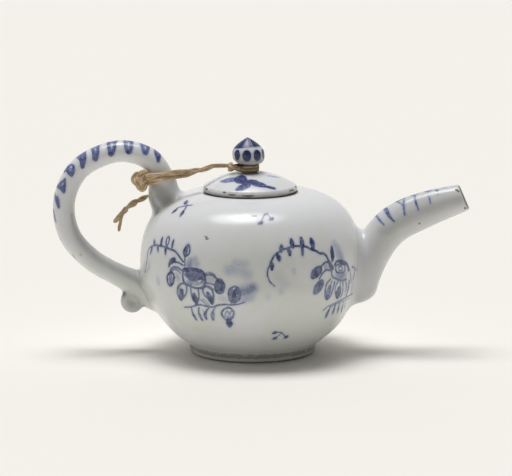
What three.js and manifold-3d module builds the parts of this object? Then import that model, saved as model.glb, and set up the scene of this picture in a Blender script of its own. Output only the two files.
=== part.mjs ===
// Miniature teapot: a thrown porcelain pot with a moulded spout, a rolled handle and a lid tied to it by twine.
// Millimetres, +Z up, +X towards the spout. The origin is on the table, under the middle of the overall size.
import * as THREE from "three";
import { mergeVertices } from "three/addons/utils/BufferGeometryUtils.js";
import Module from "manifold-3d";

const wasm = await Module();
wasm.setup();

// Clearances
const luteGap = 0.3; // between two clay pieces that slip and glaze join
const seatGap = 0.3; // under the lid, the knob and each twine that bears on something
const flangeFit = 0.45; // round the lid's flange, inside the mouth

// Pot body, thrown in one with its floor
const bellyRadius = 30;
const bellyHeight = 22.7; // of the widest line above the table
const shoulderRise = 21.8; // from the widest line to where the shoulder would close
const shoulderPowerAcross = 3.9; // of the rounded shape, 2 being an ellipse
const shoulderPowerUp = 2.5;
const underDrop = 25.5; // from the widest line down to where the bowl would close
const underPowerAcross = 2.2;
const underPowerUp = 1.5;
const bodyWall = 2;
const floorThickness = 2.4;
const floorFillet = 0.5;
const mouthRadius = 9.7;
const seatDrop = 0.7; // from where the shoulder would close down to the flat that the lid rests on
const seatMargin = 0.7; // from the lid's edge to the edge of that flat
const mouthBevel = 0.3;

// Foot ring, turned a little off the body's axis
const footRadius = 16.9;
const footFlare = 0.4; // how much wider it is where it meets the bowl
const footWidth = 2.8;
const footDepth = 2.3; // of the recess inside it
const footShift = 0.45;
const footBevel = 0.45;
const footFillet = 1.2; // where it flows into the bowl
const filletHollow = [0.3, 0.45]; // the middle of that curve, out and up, as shares of it

// Strainer holes behind the spout
const holeRadius = 1.1;
const holeRing = 3.1; // radius of the ring of holes
const holeCount = 3;

// Spout outlines: out from the belly's widest line, up from the height of that line
const spoutTop = [
  [-5, 10.6], [-0.4, 10.8], [1.3, 12.9], [3, 14.9],
  [5.2, 16.8], [8.8, 19], [16.1, 21.3], [25.4, 23.1],
];
const spoutUnder = [
  [-5, -9.9], [0.1, -9.2], [2.8, -7.3], [4.4, -2.7],
  [6.8, 2.7], [10.4, 7.6], [18.3, 11.9], [28.3, 16.3],
];
const spoutBaseWidth = 16.4;
const spoutMouthWidth = 7.3;
const spoutTaper = 1.4; // how fast it narrows from one to the other, 1 being evenly
const spoutWall = 1.4;

// Handle centreline: out from the belly's widest line, up from the height of that line
const handleLine = [
  [-10.2, 14.5], [-6.9, 19.7], [-5.8, 24.6], [-2.8, 30], [4.3, 32.5], [11.2, 31],
  [17.4, 26.8], [20.9, 18], [19.2, 9], [13.2, 2.4], [4.9, -2.3], [-4, -6.4],
];
const handleThickness = 6; // across its middle
const handleRootThickness = 12.6; // across its root on the shoulder
const handleRootRun = 0.24; // share of the handle's length over which the root tapers
const handleEndThickness = 10; // across its end on the belly
const handleEndRun = 0.16;
const handleRoundness = 1.08; // its width across the view over its thickness
const scrollRadius = 3.7;
const scrollWidth = 6.2;
const scrollOut = 1.9; // the scroll's centre, out from the belly and below its widest line
const scrollDrop = 8.4;
const scrollDimple = 0.5; // depth of the hollow in each face
const dimpleReach = 0.45; // where it is down to a part of its depth, as a share of the radius
const dimpleThere = 0.4;
const scrollRounding = 1.4;
const creaseRadius = 0.55; // of the groove where the scroll leaves the handle
const creaseAngle = 142; // degrees round the scroll, from the side towards the pot

// Lid
const lidRadius = 12.7;
const lidShift = -0.3; // from the body's axis to the mouth's and the lid's
const lidEdge = 1.4;
const domeRise = 3.95; // from the top of the lid's edge to its crown
const lidWall = 1.9;
const crownFlat = 3.1; // radius of the flat that carries the knob
const flangeDepth = 3;
const flangeWall = 1.3;
const lidBevel = 0.3; // along its edges

// Knob, a bud on a short neck
const neckRadius = 1.6;
const neckHeight = 2.65;
const budRadius = 4.3;
const budHeight = 6.7;
const budSide = 1.25; // height of its lower, rounded part
const budRoundness = 0.9; // of that part, under 1 being fuller than an ellipse
const budPoint = 1.2; // how early the point begins to close, 1 being the lower part's top
const budShift = -0.3; // from the neck's axis
const budLean = -0.05; // sideways for each millimetre up

// Twine: wound round the knob's neck and knotted, then led over the lid to a knot at the handle's root
const neckStrand = 0.62;
const neckSlack = 0.55; // from the neck to the twine
const neckPull = -0.2; // how far the winding is pulled towards the handle
const neckPasses = 2; // in front of the neck
const neckPitch = 1.04;
const neckKnotOut = 4.2; // from the winding's axis to where its two ends would meet
const neckKnotPast = [0.45, 0.3]; // the knot's middle beyond there, out and up
const neckKnotSize = 2.6;
const neckKnotStrand = 1.1;
const neckKnotTurn = [0, 70, 0]; // degrees about each axis in turn
const knotCore = 0.36; // radius of the lump inside a knot, as a share of the knot's size
const knotFlatness = 0.8; // of its three lobes, across and deep
const knotDepth = 1.5;
const lobeOverlap = 1.05; // each lobe's share of its third of the knot
const cordWidth = 1.6; // two strands laid together
const bridgeLine = [
  [-6.35, -0.6, 51.1], [-10, -1.7, 51.0], [-13.3, -2.8, 50.2], [-16.5, -3.7, 49.7],
  [-19.7, -4.6, 49.3], [-22.6, -5.3, 49], [-25.3, -5.2, 48.5], [-27.4, -4.6, 47.9],
];
const handleKnotCentre = [-30.2, -3.4, 47.2];
const handleKnotSize = 6.2;
const handleKnotStrand = 1.9;
const handleKnotTurn = [90, 105, 0];
const rootStrand = 1.2;
const rootTurnStart = 0.113; // places along the handle, as shares of its length: at the knot,
const rootTurnTop = 0.12; // on the outer side,
const rootTurnEnd = 0.082; // and at the tail
const tailWidth = 1.3;
const tailLine = [
  [-27.62, 3.5, 42.1], [-29, 2.5, 41.6], [-30.7, 1.8, 40.9], [-32.5, 1.3, 39.9], [-34.2, 1, 38.6],
];
const tailEndWidth = 0.9;
const tailEndA = [[-33.7, 1.1, 39], [-35.3, 0.8, 37.2], [-37.1, 0.6, 35.2]];
const tailEndB = [[-33.7, 1, 39], [-35, 0.3, 36.8], [-35.4, 0, 34.9], [-35.8, -0.3, 32.9]];

const clay = { roughness: 0.16, metalness: 0 };
const twine = { roughness: 0.95, metalness: 0 };
const glazedWhite = 0xd9dbdd;
const cobaltBlue = 0x3c4c86;
const twineTan = 0xa08f68;

// A closed mesh as a solid that can be cut and joined
function solidOf(geometry) {
  const bare = geometry.clone();
  bare.deleteAttribute("normal");
  bare.deleteAttribute("uv");
  const merged = mergeVertices(bare, 1e-4);
  const mesh = new wasm.Mesh({
    numProp: 3,
    vertProperties: new Float32Array(merged.attributes.position.array),
    triVerts: new Uint32Array(merged.index.array),
  });
  return new wasm.Manifold(mesh);
}

// A solid as a flat-shaded geometry again.
function geometryOf(solid) {
  const { vertProperties, triVerts } = solid.getMesh();
  const geometry = new THREE.BufferGeometry();
  geometry.setAttribute("position", new THREE.BufferAttribute(vertProperties, 3));
  geometry.setIndex(new THREE.BufferAttribute(triVerts, 1));
  const faceted = geometry.toNonIndexed();
  faceted.computeVertexNormals();
  return faceted;
}

// A round shape about the vertical axis, from a profile of [radius, height] that runs upwards on its outside.
function turned(profile, segments) {
  const points = profile.map(([radius, height]) => new THREE.Vector2(Math.max(radius, 0), height));
  return new THREE.LatheGeometry(points, segments).rotateX(Math.PI / 2);
}

// A closed skin over rings of points, each ring with as many points, capped at both ends.
function lofted(rings) {
  const sides = rings[0].length;
  const positions = [];
  const index = [];
  const add = (point) => positions.push(point.x, point.y, point.z);
  rings.forEach((ring) => ring.forEach(add));
  for (let i = 0; i + 1 < rings.length; i++) {
    for (let j = 0; j < sides; j++) {
      const a = i * sides + j;
      const b = i * sides + ((j + 1) % sides);
      index.push(a, b, b + sides, a, b + sides, a + sides);
    }
  }
  const middle = (ring) => ring.reduce((sum, p) => sum.add(p), new THREE.Vector3()).divideScalar(sides);
  add(middle(rings[0]));
  add(middle(rings.at(-1)));
  const last = (rings.length - 1) * sides;
  for (let j = 0; j < sides; j++) {
    const next = (j + 1) % sides;
    index.push(rings.length * sides, next, j);
    index.push(rings.length * sides + 1, last + j, last + next);
  }
  const geometry = new THREE.BufferGeometry();
  geometry.setAttribute("position", new THREE.Float32BufferAttribute(positions, 3));
  geometry.setIndex(index);
  return geometry;
}

// A ring of points on an ellipse round a centre, from its two half axes.
function ovalRing(centre, halfA, halfB, sides) {
  return Array.from({ length: sides }, (_, j) => {
    const angle = (2 * Math.PI * j) / sides;
    return centre.clone().addScaledVector(halfA, Math.cos(angle)).addScaledVector(halfB, Math.sin(angle));
  });
}

// The rounded quarter outline between the widest line and the axis, grown outwards by grow.
function quarter(rise, powerAcross, powerUp, grow, steps) {
  return Array.from({ length: steps + 1 }, (_, i) => {
    const angle = (Math.PI / 2) * (i / steps);
    const across = (bellyRadius + grow) * Math.cos(angle) ** (2 / powerAcross);
    const up = (rise + grow) * Math.sin(angle) ** (2 / powerUp);
    return [across, up];
  });
}

const upper = (grow, steps) =>
  quarter(shoulderRise, shoulderPowerAcross, shoulderPowerUp, grow, steps).map(([r, up]) => [r, bellyHeight + up]);
const lower = (grow, steps) =>
  quarter(underDrop, underPowerAcross, underPowerUp, grow, steps).map(([r, down]) => [r, bellyHeight - down]);

// The point where an outline, listed from the widest line, reaches a radius or a height.
function crossing(outline, axis, value) {
  const above = (point) => point[axis] > value;
  const i = outline.findIndex((point) => above(point) !== above(outline[0]));
  const [a, b] = [outline[i - 1], outline[i]];
  const share = (value - a[axis]) / (b[axis] - a[axis]);
  return [a[0] + share * (b[0] - a[0]), a[1] + share * (b[1] - a[1])];
}

// The body's outer form as one solid without its hollow, grown all round, which cuts what is luted on.
function bodyForm(grow) {
  const under = lower(grow, 20).filter(([, z]) => z > 0).reverse();
  const over = upper(grow, 24).slice(1, -1);
  return solidOf(turned([[0, under[0][1]], ...under, ...over, [0, bellyHeight + shoulderRise + grow]], 64));
}

// The levels that the lid and the knob are built up from
const seatHeight = bellyHeight + shoulderRise - seatDrop;
const lidBottom = seatHeight + seatGap;
const domeAt = (r) => lidBottom + lidEdge + domeRise * (1 - (Math.max(r, crownFlat) / lidRadius) ** 2);
const knobBottom = domeAt(0) + seatGap;
const floorTop = footDepth + floorThickness;

function makePotBody() {
  const segments = 48;
  const bowl = lower(0, 12);
  const outside = [
    [0, footDepth],
    crossing(bowl, 1, footDepth),
    ...bowl.filter(([, z]) => z > footDepth).reverse(),
    ...upper(0, 15).slice(1),
  ];
  const floorEdge = crossing(lower(-bodyWall, 20), 1, floorTop + floorFillet)[0];
  const inside = [
    [0, floorTop],
    [floorEdge - floorFillet * 2, floorTop],
    [floorEdge, floorTop + floorFillet],
    ...lower(-bodyWall, 8).filter(([, z]) => z > floorTop + 2 * floorFillet).reverse(),
    ...upper(-bodyWall, 9).slice(1),
  ];
  const seatRadius = lidRadius + seatMargin;
  const mouth = [
    [0, seatHeight - 3 * bodyWall],
    [mouthRadius, seatHeight - 3 * bodyWall],
    [mouthRadius, seatHeight - mouthBevel],
    [mouthRadius + mouthBevel, seatHeight],
    [seatRadius - mouthBevel, seatHeight],
    [seatRadius, seatHeight + mouthBevel],
    [seatRadius, seatHeight + 3 * bodyWall],
    [0, seatHeight + 3 * bodyWall],
  ];
  const shell = solidOf(turned(outside, segments))
    .add(makeFoot(bowl, segments))
    .subtract(solidOf(turned(inside, segments)))
    .subtract(solidOf(turned(mouth, segments).translate(lidShift, 0, 0)));
  return drillStrainer(shell);
}

// The foot ring, its outside flowing into the bowl.
function makeFoot(bowl, segments) {
  const inner = footRadius - footWidth;
  const outer = footRadius + footFlare;
  const buried = footDepth + floorThickness / 2;
  const top = crossing(bowl, 0, outer)[1];
  const profile = [
    [inner - footFlare, buried],
    [inner - footFlare, footDepth],
    [inner, footBevel],
    [inner + footBevel, 0],
    [footRadius - footBevel, 0],
    [footRadius, footBevel],
    [outer, top],
    [outer + footFillet * filletHollow[0], top + footFillet * filletHollow[1]],
    [outer + footFillet, crossing(bowl, 0, outer + footFillet)[1] + footFillet / 2],
    [inner - footFlare, buried],
  ];
  return solidOf(turned(profile, segments).translate(footShift, 0, 0));
}

// Holes through the wall, in a ring behind the middle of the spout's base.
function drillStrainer(shell) {
  const middle = bellyHeight + (spoutTop[1][1] + spoutUnder[1][1]) / 2;
  let drilled = shell;
  for (let i = 0; i < holeCount; i++) {
    const angle = Math.PI / 2 + (2 * Math.PI * i) / holeCount;
    const drill = new THREE.CylinderGeometry(holeRadius, holeRadius, 3 * bodyWall, 12)
      .rotateZ(Math.PI / 2)
      .translate(bellyRadius - bodyWall / 2, holeRing * Math.cos(angle), middle + holeRing * Math.sin(angle));
    drilled = drilled.subtract(solidOf(drill));
  }
  return drilled;
}

// The spout's skin, drawn in by inset, as ovals across the spout between its top and its under outline.
function spoutSkin(inset, overrun) {
  const place = ([out, up]) => new THREE.Vector3(bellyRadius + out, 0, bellyHeight + up);
  const top = new THREE.CatmullRomCurve3(spoutTop.map(place), false, "centripetal");
  const under = new THREE.CatmullRomCurve3(spoutUnder.map(place), false, "centripetal");
  const steps = 22;
  const rings = Array.from({ length: steps + 1 }, (_, i) => {
    const t = i / steps;
    const [high, low] = [top.getPoint(t), under.getPoint(t)];
    const halfHeight = high.clone().sub(low).divideScalar(2);
    const centre = high.clone().add(low).divideScalar(2);
    const halfWidth = (spoutMouthWidth + (spoutBaseWidth - spoutMouthWidth) * (1 - t) ** spoutTaper) / 2;
    halfHeight.setLength(halfHeight.length() - inset);
    return ovalRing(centre, halfHeight, new THREE.Vector3(0, inset - halfWidth, 0), 20);
  });
  if (overrun) {
    const along = new THREE.Vector3(1, 0, 0).multiplyScalar(overrun);
    rings.push(rings.at(-1).map((point) => point.clone().add(along)));
  }
  return solidOf(lofted(rings));
}

function makeSpout() {
  return spoutSkin(0, 0).subtract(spoutSkin(spoutWall, 1)).subtract(bodyForm(luteGap));
}

// The handle's centreline and its half thickness at a share t of its length.
const handlePath = new THREE.CatmullRomCurve3(
  handleLine.map(([out, up]) => new THREE.Vector3(-bellyRadius - out, 0, bellyHeight + up)),
  false,
  "centripetal",
);

function handleHalf(t) {
  const ease = (share) => Math.max(0, 1 - share) ** 2;
  const root = (handleRootThickness - handleThickness) * ease(t / handleRootRun);
  const end = (handleEndThickness - handleThickness) * ease((1 - t) / handleEndRun);
  return (handleThickness + root + end) / 2;
}

// A point round the handle's section: its angle is 0 on the outer side of the bend.
function roundHandle(t, angle, away) {
  const centre = handlePath.getPointAt(t);
  const tangent = handlePath.getTangentAt(t);
  const outward = new THREE.Vector3(-tangent.z, 0, tangent.x).negate();
  const half = handleHalf(t);
  return centre
    .addScaledVector(outward, (half + away) * Math.cos(angle))
    .add(new THREE.Vector3(0, (half * handleRoundness + away) * Math.sin(angle), 0));
}

function makeHandle() {
  const [steps, sides] = [40, 14];
  const rings = Array.from({ length: steps + 1 }, (_, i) =>
    Array.from({ length: sides }, (_, j) => roundHandle(i / steps, (2 * Math.PI * j) / sides, 0)),
  );
  const scrollX = -bellyRadius - scrollOut;
  const scrollZ = bellyHeight - scrollDrop;
  const half = scrollWidth / 2;
  const face = [[0, half - scrollDimple], [scrollRadius * dimpleReach, half - scrollDimple * dimpleThere]];
  const edge = [0, 1, 2, 3].map((k) => {
    const angle = (Math.PI / 2) * (1 - k / 3);
    return [scrollRadius - scrollRounding * (1 - Math.cos(angle)), half - scrollRounding * (1 - Math.sin(angle))];
  });
  const side = [...face, ...edge];
  const roll = turned([...side.map(([r, y]) => [r, -y]), ...side.reverse()], 24)
    .rotateX(Math.PI / 2)
    .translate(scrollX, 0, scrollZ);
  const creaseTurn = THREE.MathUtils.degToRad(creaseAngle);
  const creaseRun = scrollRadius - creaseRadius / 2;
  const crease = new THREE.CylinderGeometry(creaseRadius, creaseRadius, 3 * scrollWidth, 10)
    .translate(scrollX + creaseRun * Math.cos(creaseTurn), 0, scrollZ + creaseRun * Math.sin(creaseTurn));
  return solidOf(lofted(rings))
    .add(solidOf(roll))
    .subtract(solidOf(crease))
    .subtract(bodyForm(luteGap));
}

function makeLid() {
  const flangeRadius = mouthRadius - flangeFit;
  const flangeInner = flangeRadius - flangeWall;
  const steps = 7;
  const slope = Array.from({ length: steps + 1 }, (_, i) => {
    const edge = lidRadius - lidBevel;
    return edge - ((edge - crownFlat) * i) / steps;
  });
  const dome = [...slope, 0];
  const inside = [1, 0.75, 0.5, 0.25, 0].map((share) => flangeInner * share);
  const profile = [
    ...inside.map((r) => [r, domeAt(r) - lidWall]).reverse(),
    [flangeInner, lidBottom - flangeDepth + lidBevel],
    [flangeInner + lidBevel, lidBottom - flangeDepth],
    [flangeRadius - lidBevel, lidBottom - flangeDepth],
    [flangeRadius, lidBottom - flangeDepth + lidBevel],
    [flangeRadius, lidBottom],
    [lidRadius - lidBevel, lidBottom],
    [lidRadius, lidBottom + lidBevel],
    [lidRadius, lidBottom + lidEdge - lidBevel],
    ...dome.map((r) => [r, domeAt(r)]),
  ];
  return solidOf(turned(profile, 48).translate(lidShift, 0, 0));
}

function makeKnob() {
  const neckTop = knobBottom + neckHeight;
  const neck = [
    [0, knobBottom],
    [neckRadius + 0.2, knobBottom],
    [neckRadius, knobBottom + 0.2],
    [neckRadius, neckTop + 0.5],
    [0, neckTop + 0.5],
  ];
  const round = Array.from({ length: 6 }, (_, i) => {
    const angle = (Math.PI / 2) * (i / 5);
    return [budRadius * Math.sin(angle) ** budRoundness, neckTop + budSide * (1 - Math.cos(angle))];
  });
  const point = Array.from({ length: 10 }, (_, i) => {
    const left = 1 - (i + 1) / 10;
    const height = neckTop + budSide + (budHeight - budSide) * (1 - left);
    return [budRadius * Math.sin((Math.PI / 2) * Math.min(1, budPoint * left)), height];
  });
  const lean = new THREE.Matrix4().makeShear(0, 0, 0, 0, budLean, 0).setPosition(budShift - budLean * neckTop, 0, 0);
  return solidOf(turned(neck, 32))
    .add(solidOf(turned([...round, ...point], 32).applyMatrix4(lean)))
    .translate([lidShift, 0, 0]);
}

// A tube of one width along a smooth curve through points, its section a regular polygon.
function tube(points, width, steps, sides) {
  const curve = new THREE.CatmullRomCurve3(points, false, "centripetal");
  const corners = Array.from({ length: sides }, (_, i) => {
    const angle = (2 * Math.PI * i) / sides;
    return new THREE.Vector2((width / 2) * Math.cos(angle), (width / 2) * Math.sin(angle));
  });
  const section = new THREE.Shape(corners);
  return solidOf(new THREE.ExtrudeGeometry(section, { steps, extrudePath: curve, bevelEnabled: false }));
}

const pointsOf = (list) => list.map((place) => new THREE.Vector3(...place));

// The least gap of a wound tube to itself, between points of its centreline that lie over half a loop apart.
function leastGap(points, width, halfLoop) {
  let least = Infinity;
  const along = points.map((p, i) => (i ? p.distanceTo(points[i - 1]) : 0));
  for (let i = 0; i < points.length; i++) {
    let run = 0;
    for (let j = i + 1; j < points.length; j++) {
      run += along[j];
      if (run > halfLoop) least = Math.min(least, points[i].distanceTo(points[j]) - width);
    }
  }
  return least;
}

// Twine round the neck: a helix that leaves on tangents to the knot beside it.
const windingAxis = lidShift + neckPull;
const windingRadius = neckRadius + neckSlack + neckStrand / 2;
const windingMiddle = (knobBottom - seatGap + knobBottom + neckHeight) / 2;
const tangentAngle = Math.acos(windingRadius / neckKnotOut);
const neckKnotCentre = [windingAxis - neckKnotOut - neckKnotPast[0], 0, windingMiddle + neckKnotPast[1]];

function neckWindingPoints() {
  const sweep = 2 * Math.PI * neckPasses - 2 * tangentAngle;
  const steps = Math.round((sweep / (2 * Math.PI)) * 24);
  const rise = (neckPitch * sweep) / (2 * Math.PI);
  const loop = Array.from({ length: steps + 1 }, (_, i) => {
    const angle = Math.PI + tangentAngle + (sweep * i) / steps;
    const z = windingMiddle + rise * (i / steps - 0.5);
    return new THREE.Vector3(
      windingAxis + windingRadius * Math.cos(angle),
      windingRadius * Math.sin(angle),
      z,
    );
  });
  const knotFace = neckKnotSize / 2;
  const knot = new THREE.Vector3(...neckKnotCentre);
  const lead = (from, next) => {
    const away = from.clone().sub(next).setZ(0).normalize();
    const run = knot.distanceTo(from) - knotFace;
    return [1, 0.5].map((share) => from.clone().addScaledVector(away, run * share));
  };
  return [...lead(loop[0], loop[1]), ...loop, ...lead(loop.at(-1), loop.at(-2)).reverse()];
}

// Twine round the handle's root, from the front of the knot over the outer side and the back to the inner side.
function rootTurnPoints() {
  const steps = 26;
  return Array.from({ length: steps + 1 }, (_, i) => {
    const share = i / steps;
    const t =
      rootTurnStart * (1 - share) * (1 - 2 * share) +
      rootTurnTop * 4 * share * (1 - share) +
      rootTurnEnd * share * (2 * share - 1);
    const angle = Math.PI * (1.2 + 1.58 * share);
    return roundHandle(t, angle, seatGap + rootStrand / 2);
  });
}

// A knot pressed into one lump: the three lobes of an overhand knot.
function knotLump([x, y, z], size, strandWidth, turn) {
  const scale = (size - strandWidth) / 6;
  const lobes = [0, 1, 2].map((k) => {
    const points = Array.from({ length: 13 }, (_, i) => {
      const angle = ((k + i / 12) * lobeOverlap * 2 * Math.PI) / 3;
      return new THREE.Vector3(
        Math.sin(angle) + 2 * Math.sin(2 * angle),
        knotFlatness * (Math.cos(angle) - 2 * Math.cos(2 * angle)),
        -knotDepth * Math.sin(3 * angle),
      ).multiplyScalar(scale);
    });
    return tube(points, strandWidth, 12, 8);
  });
  const core = solidOf(new THREE.IcosahedronGeometry(size * knotCore, 1));
  return lobes
    .reduce((lump, lobe) => lump.add(lobe), core)
    .rotate(turn)
    .translate([x, y, z]);
}

const potBody = makePotBody();
const spout = makeSpout();
const handle = makeHandle();
const lid = makeLid();
const knob = makeKnob();

const neckPoints = neckWindingPoints();
const rootPoints = rootTurnPoints();
const twineNeck = tube(neckPoints, neckStrand, neckPoints.length + 3, 6);
const twineRoot = tube(rootPoints, rootStrand, 26, 6);
const neckKnot = knotLump(neckKnotCentre, neckKnotSize, neckKnotStrand, neckKnotTurn);
const handleKnot = knotLump(handleKnotCentre, handleKnotSize, handleKnotStrand, handleKnotTurn);
const bridge = tube(pointsOf(bridgeLine), cordWidth, 10, 8);
const tail = tube(pointsOf(tailLine), tailWidth, 6, 8)
  .add(tube(pointsOf(tailEndA), tailEndWidth, 4, 8))
  .add(tube(pointsOf(tailEndB), tailEndWidth, 6, 8));
const neckGap = leastGap(neckPoints, neckStrand, (Math.PI / 2) * windingRadius);
console.log("least gap of the neck winding to itself", neckGap.toFixed(2), "mm");

const teapot = new THREE.Group();
function show(name, solid, color, finish) {
  const mesh = new THREE.Mesh(geometryOf(solid), new THREE.MeshStandardMaterial({ color, ...finish }));
  mesh.name = name;
  teapot.add(mesh);
  return mesh;
}
show("pot_body", potBody, glazedWhite, clay);
show("spout", spout, glazedWhite, clay);
show("handle", handle, glazedWhite, clay);
show("lid", lid, glazedWhite, clay);
show("knob", knob, cobaltBlue, clay);
show("twine_neck_turns", twineNeck, twineTan, twine);
show("twine_neck_knot", neckKnot, twineTan, twine);
show("twine_bridge", bridge, twineTan, twine);
show("twine_handle_turn", twineRoot, twineTan, twine);
show("twine_handle_knot", handleKnot, twineTan, twine);
show("twine_tail", tail, twineTan, twine);

// The pot stands with its overall length centred on the origin
const box = new THREE.Box3().setFromObject(teapot);
teapot.position.set(-(box.min.x + box.max.x) / 2, 0, 0);

export default teapot;
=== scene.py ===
# Miniature blue and white teapot, its lid tied to the handle by twine.
# Shapes are worked out in millimetres about the pot's own axis, and laid down in metres by place().
import math

import bpy
import numpy as np
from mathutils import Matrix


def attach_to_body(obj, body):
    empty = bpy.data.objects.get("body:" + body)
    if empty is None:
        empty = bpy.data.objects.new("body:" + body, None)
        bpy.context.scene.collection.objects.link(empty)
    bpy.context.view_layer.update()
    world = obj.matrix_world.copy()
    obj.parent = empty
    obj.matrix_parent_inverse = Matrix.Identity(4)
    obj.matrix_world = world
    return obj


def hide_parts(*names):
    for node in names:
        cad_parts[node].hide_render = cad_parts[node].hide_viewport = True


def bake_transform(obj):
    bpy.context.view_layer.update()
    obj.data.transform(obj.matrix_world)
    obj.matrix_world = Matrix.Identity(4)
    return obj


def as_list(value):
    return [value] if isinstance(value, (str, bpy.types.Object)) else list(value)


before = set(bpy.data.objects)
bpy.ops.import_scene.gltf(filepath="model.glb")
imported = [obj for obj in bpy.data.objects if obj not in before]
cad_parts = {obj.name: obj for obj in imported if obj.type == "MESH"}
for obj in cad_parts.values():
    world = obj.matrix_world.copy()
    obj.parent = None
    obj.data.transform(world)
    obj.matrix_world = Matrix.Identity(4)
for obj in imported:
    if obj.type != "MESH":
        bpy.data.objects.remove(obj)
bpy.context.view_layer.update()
scene = bpy.context.scene
stand = {"shiftX": -2.178453}  # from the pot's axis to the middle of its overall length


def place(points):
    # millimetres about the pot's axis to metres in the object's frame
    return (np.asarray(points, float) + (stand["shiftX"], 0, 0)) * 0.001


# Camera
shot = {
    "target": (-0.84, 0, 31.06), "distance": 1000, "elevation": 10.5, "lens": 260, "sensor": 36,
    "near": 0.05, "far": 40, "pixelsWide": 512, "middlePixel": (256, 238),
}


def makeCamera():
    # a long lens on a circle round the target, tilted down by the elevation
    tilt = math.radians(shot["elevation"])
    data = bpy.data.cameras.new("camera")
    data.lens = shot["lens"]
    data.sensor_width = shot["sensor"]
    data.clip_start = shot["near"]
    data.clip_end = shot["far"]
    camera = bpy.data.objects.new("camera", data)
    x, y, z = shot["target"]
    run = shot["distance"]
    camera.location = (x / 1000, (y - run * math.cos(tilt)) / 1000, (z + run * math.sin(tilt)) / 1000)
    camera.rotation_euler = (math.pi / 2 - tilt, 0, 0)
    scene.collection.objects.link(camera)
    scene.camera = camera


def inPhoto(points):
    # the photo's pixel at which the camera sees a point: its way across and up over its depth, times the lens
    tilt = math.radians(shot["elevation"])
    x, y, z = shot["target"]
    run = shot["distance"]
    ahead, up = np.array([0, math.cos(tilt), -math.sin(tilt)]), np.array([0, math.sin(tilt), math.cos(tilt)])
    way = points + (stand["shiftX"] - x, run * math.cos(tilt) - y, -z - run * math.sin(tilt))
    scale = shot["lens"] / shot["sensor"] * shot["pixelsWide"] / (way @ ahead)
    across, down = shot["middlePixel"]
    return np.stack([across + way[..., 0] * scale, down - way @ up * scale], axis=-1)


makeCamera()
print("camera set")


# Curves and grids
def smoothCurve(points, shares):
    # centripetal Catmull-Rom through the points, the shares running evenly over its spans
    p = np.asarray(points, float)
    p = np.vstack([2 * p[0] - p[1], p, 2 * p[-1] - p[-2]])
    spans = len(p) - 3
    at = np.clip(np.asarray(shares, float), 0, 1) * spans
    i = np.minimum(at.astype(int), spans - 1)
    u = (at - i)[..., None]
    a, b, c, d = p[i], p[i + 1], p[i + 2], p[i + 3]
    gap = lambda m, n: np.sqrt(np.linalg.norm(n - m, axis=-1, keepdims=True))
    ab, bc, cd = gap(a, b), gap(b, c), gap(c, d)
    first = ((b - a) / ab - (c - a) / (ab + bc) + (c - b) / bc) * bc
    last = ((c - b) / bc - (d - b) / (bc + cd) + (d - c) / cd) * bc
    square, cube = 3 * (c - b) - 2 * first - last, 2 * (b - c) + first + last
    return b + u * (first + u * (square + u * cube))


def evenly(points, count):
    # the same line with its points evenly spaced along it
    p = np.asarray(points, float)
    run = np.concatenate([[0], np.cumsum(np.linalg.norm(np.diff(p, axis=0), axis=1))])
    want = np.linspace(0, run[-1], count)
    return np.stack([np.interp(want, run, p[:, k]) for k in range(p.shape[1])], axis=1)


def softened(corners, cut, steps=5):
    # each inner corner of an outline becomes a short quadratic arc, from cut before it to cut after it
    p = np.asarray(corners, float)
    out = [p[:1]]
    share = np.linspace(0, 1, steps)[:, None]
    for before, here, after in zip(p[:-2], p[1:-1], p[2:]):
        back, on = before - here, after - here
        start = here + back * min(0.5, cut / np.linalg.norm(back))
        end = here + on * min(0.5, cut / np.linalg.norm(on))
        out.append((1 - share) ** 2 * start + 2 * share * (1 - share) * here + share**2 * end)
    return np.vstack(out + [p[-1:]])


def unit(vectors):
    # the same directions at length 1
    return vectors / np.maximum(np.linalg.norm(vectors, axis=-1, keepdims=True), 1e-12)


def gridPiece(name, grids, marks=None, loop=False):
    # one mesh from grids of rings: each row closes on itself, and the ends meet or get a middle point
    marks = marks or {}
    coords, quads, tris, values, base = [], [], [], {key: [] for key in marks}, 0
    for index, grid in enumerate(grids):
        rows, columns = grid.shape[:2]
        ids = base + np.arange(rows * columns).reshape(rows, columns)
        below = np.vstack([ids, ids[:1]]) if loop else ids
        beside = np.roll(below, -1, axis=1)
        faces = np.stack([below[:-1], beside[:-1], beside[1:], below[1:]], axis=-1).reshape(-1, 4)
        points = grid.reshape(-1, 3)
        caps = np.zeros((0, 3), int)
        if not loop:
            points = np.vstack([points, grid[0].mean(axis=0), grid[-1].mean(axis=0)])
            first, last = base + rows * columns, base + rows * columns + 1
            turn = np.roll(ids, -1, axis=1)
            caps = np.vstack([
                np.stack([np.full(columns, first), turn[0], ids[0]], axis=1),
                np.stack([np.full(columns, last), ids[-1], turn[-1]], axis=1),
            ])
        local = points - points.mean(axis=0)
        a, b, c, d = (local[faces[:, k] - base] for k in range(4))
        volume = np.einsum("ij,ij->", a, np.cross(b, c)) + np.einsum("ij,ij->", a, np.cross(c, d))
        if volume < 0:
            faces, caps = faces[:, ::-1], caps[:, ::-1]
        coords.append(points)
        quads.append(faces)
        tris.append(caps)
        for key in marks:
            value = np.asarray(marks[key][index], float).reshape(rows * columns, -1)
            if not loop:
                value = np.vstack([value, value[:columns].mean(axis=0), value[-columns:].mean(axis=0)])
            values[key].append(value)
        base += len(points)
    quads, tris = np.vstack(quads), np.vstack(tris)
    sizes = np.concatenate([np.full(len(quads), 4), np.full(len(tris), 3)])
    return meshPiece(name, np.vstack(coords), np.concatenate([quads.ravel(), tris.ravel()]), sizes,
                     {key: np.vstack(parts) for key, parts in values.items()})


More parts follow.
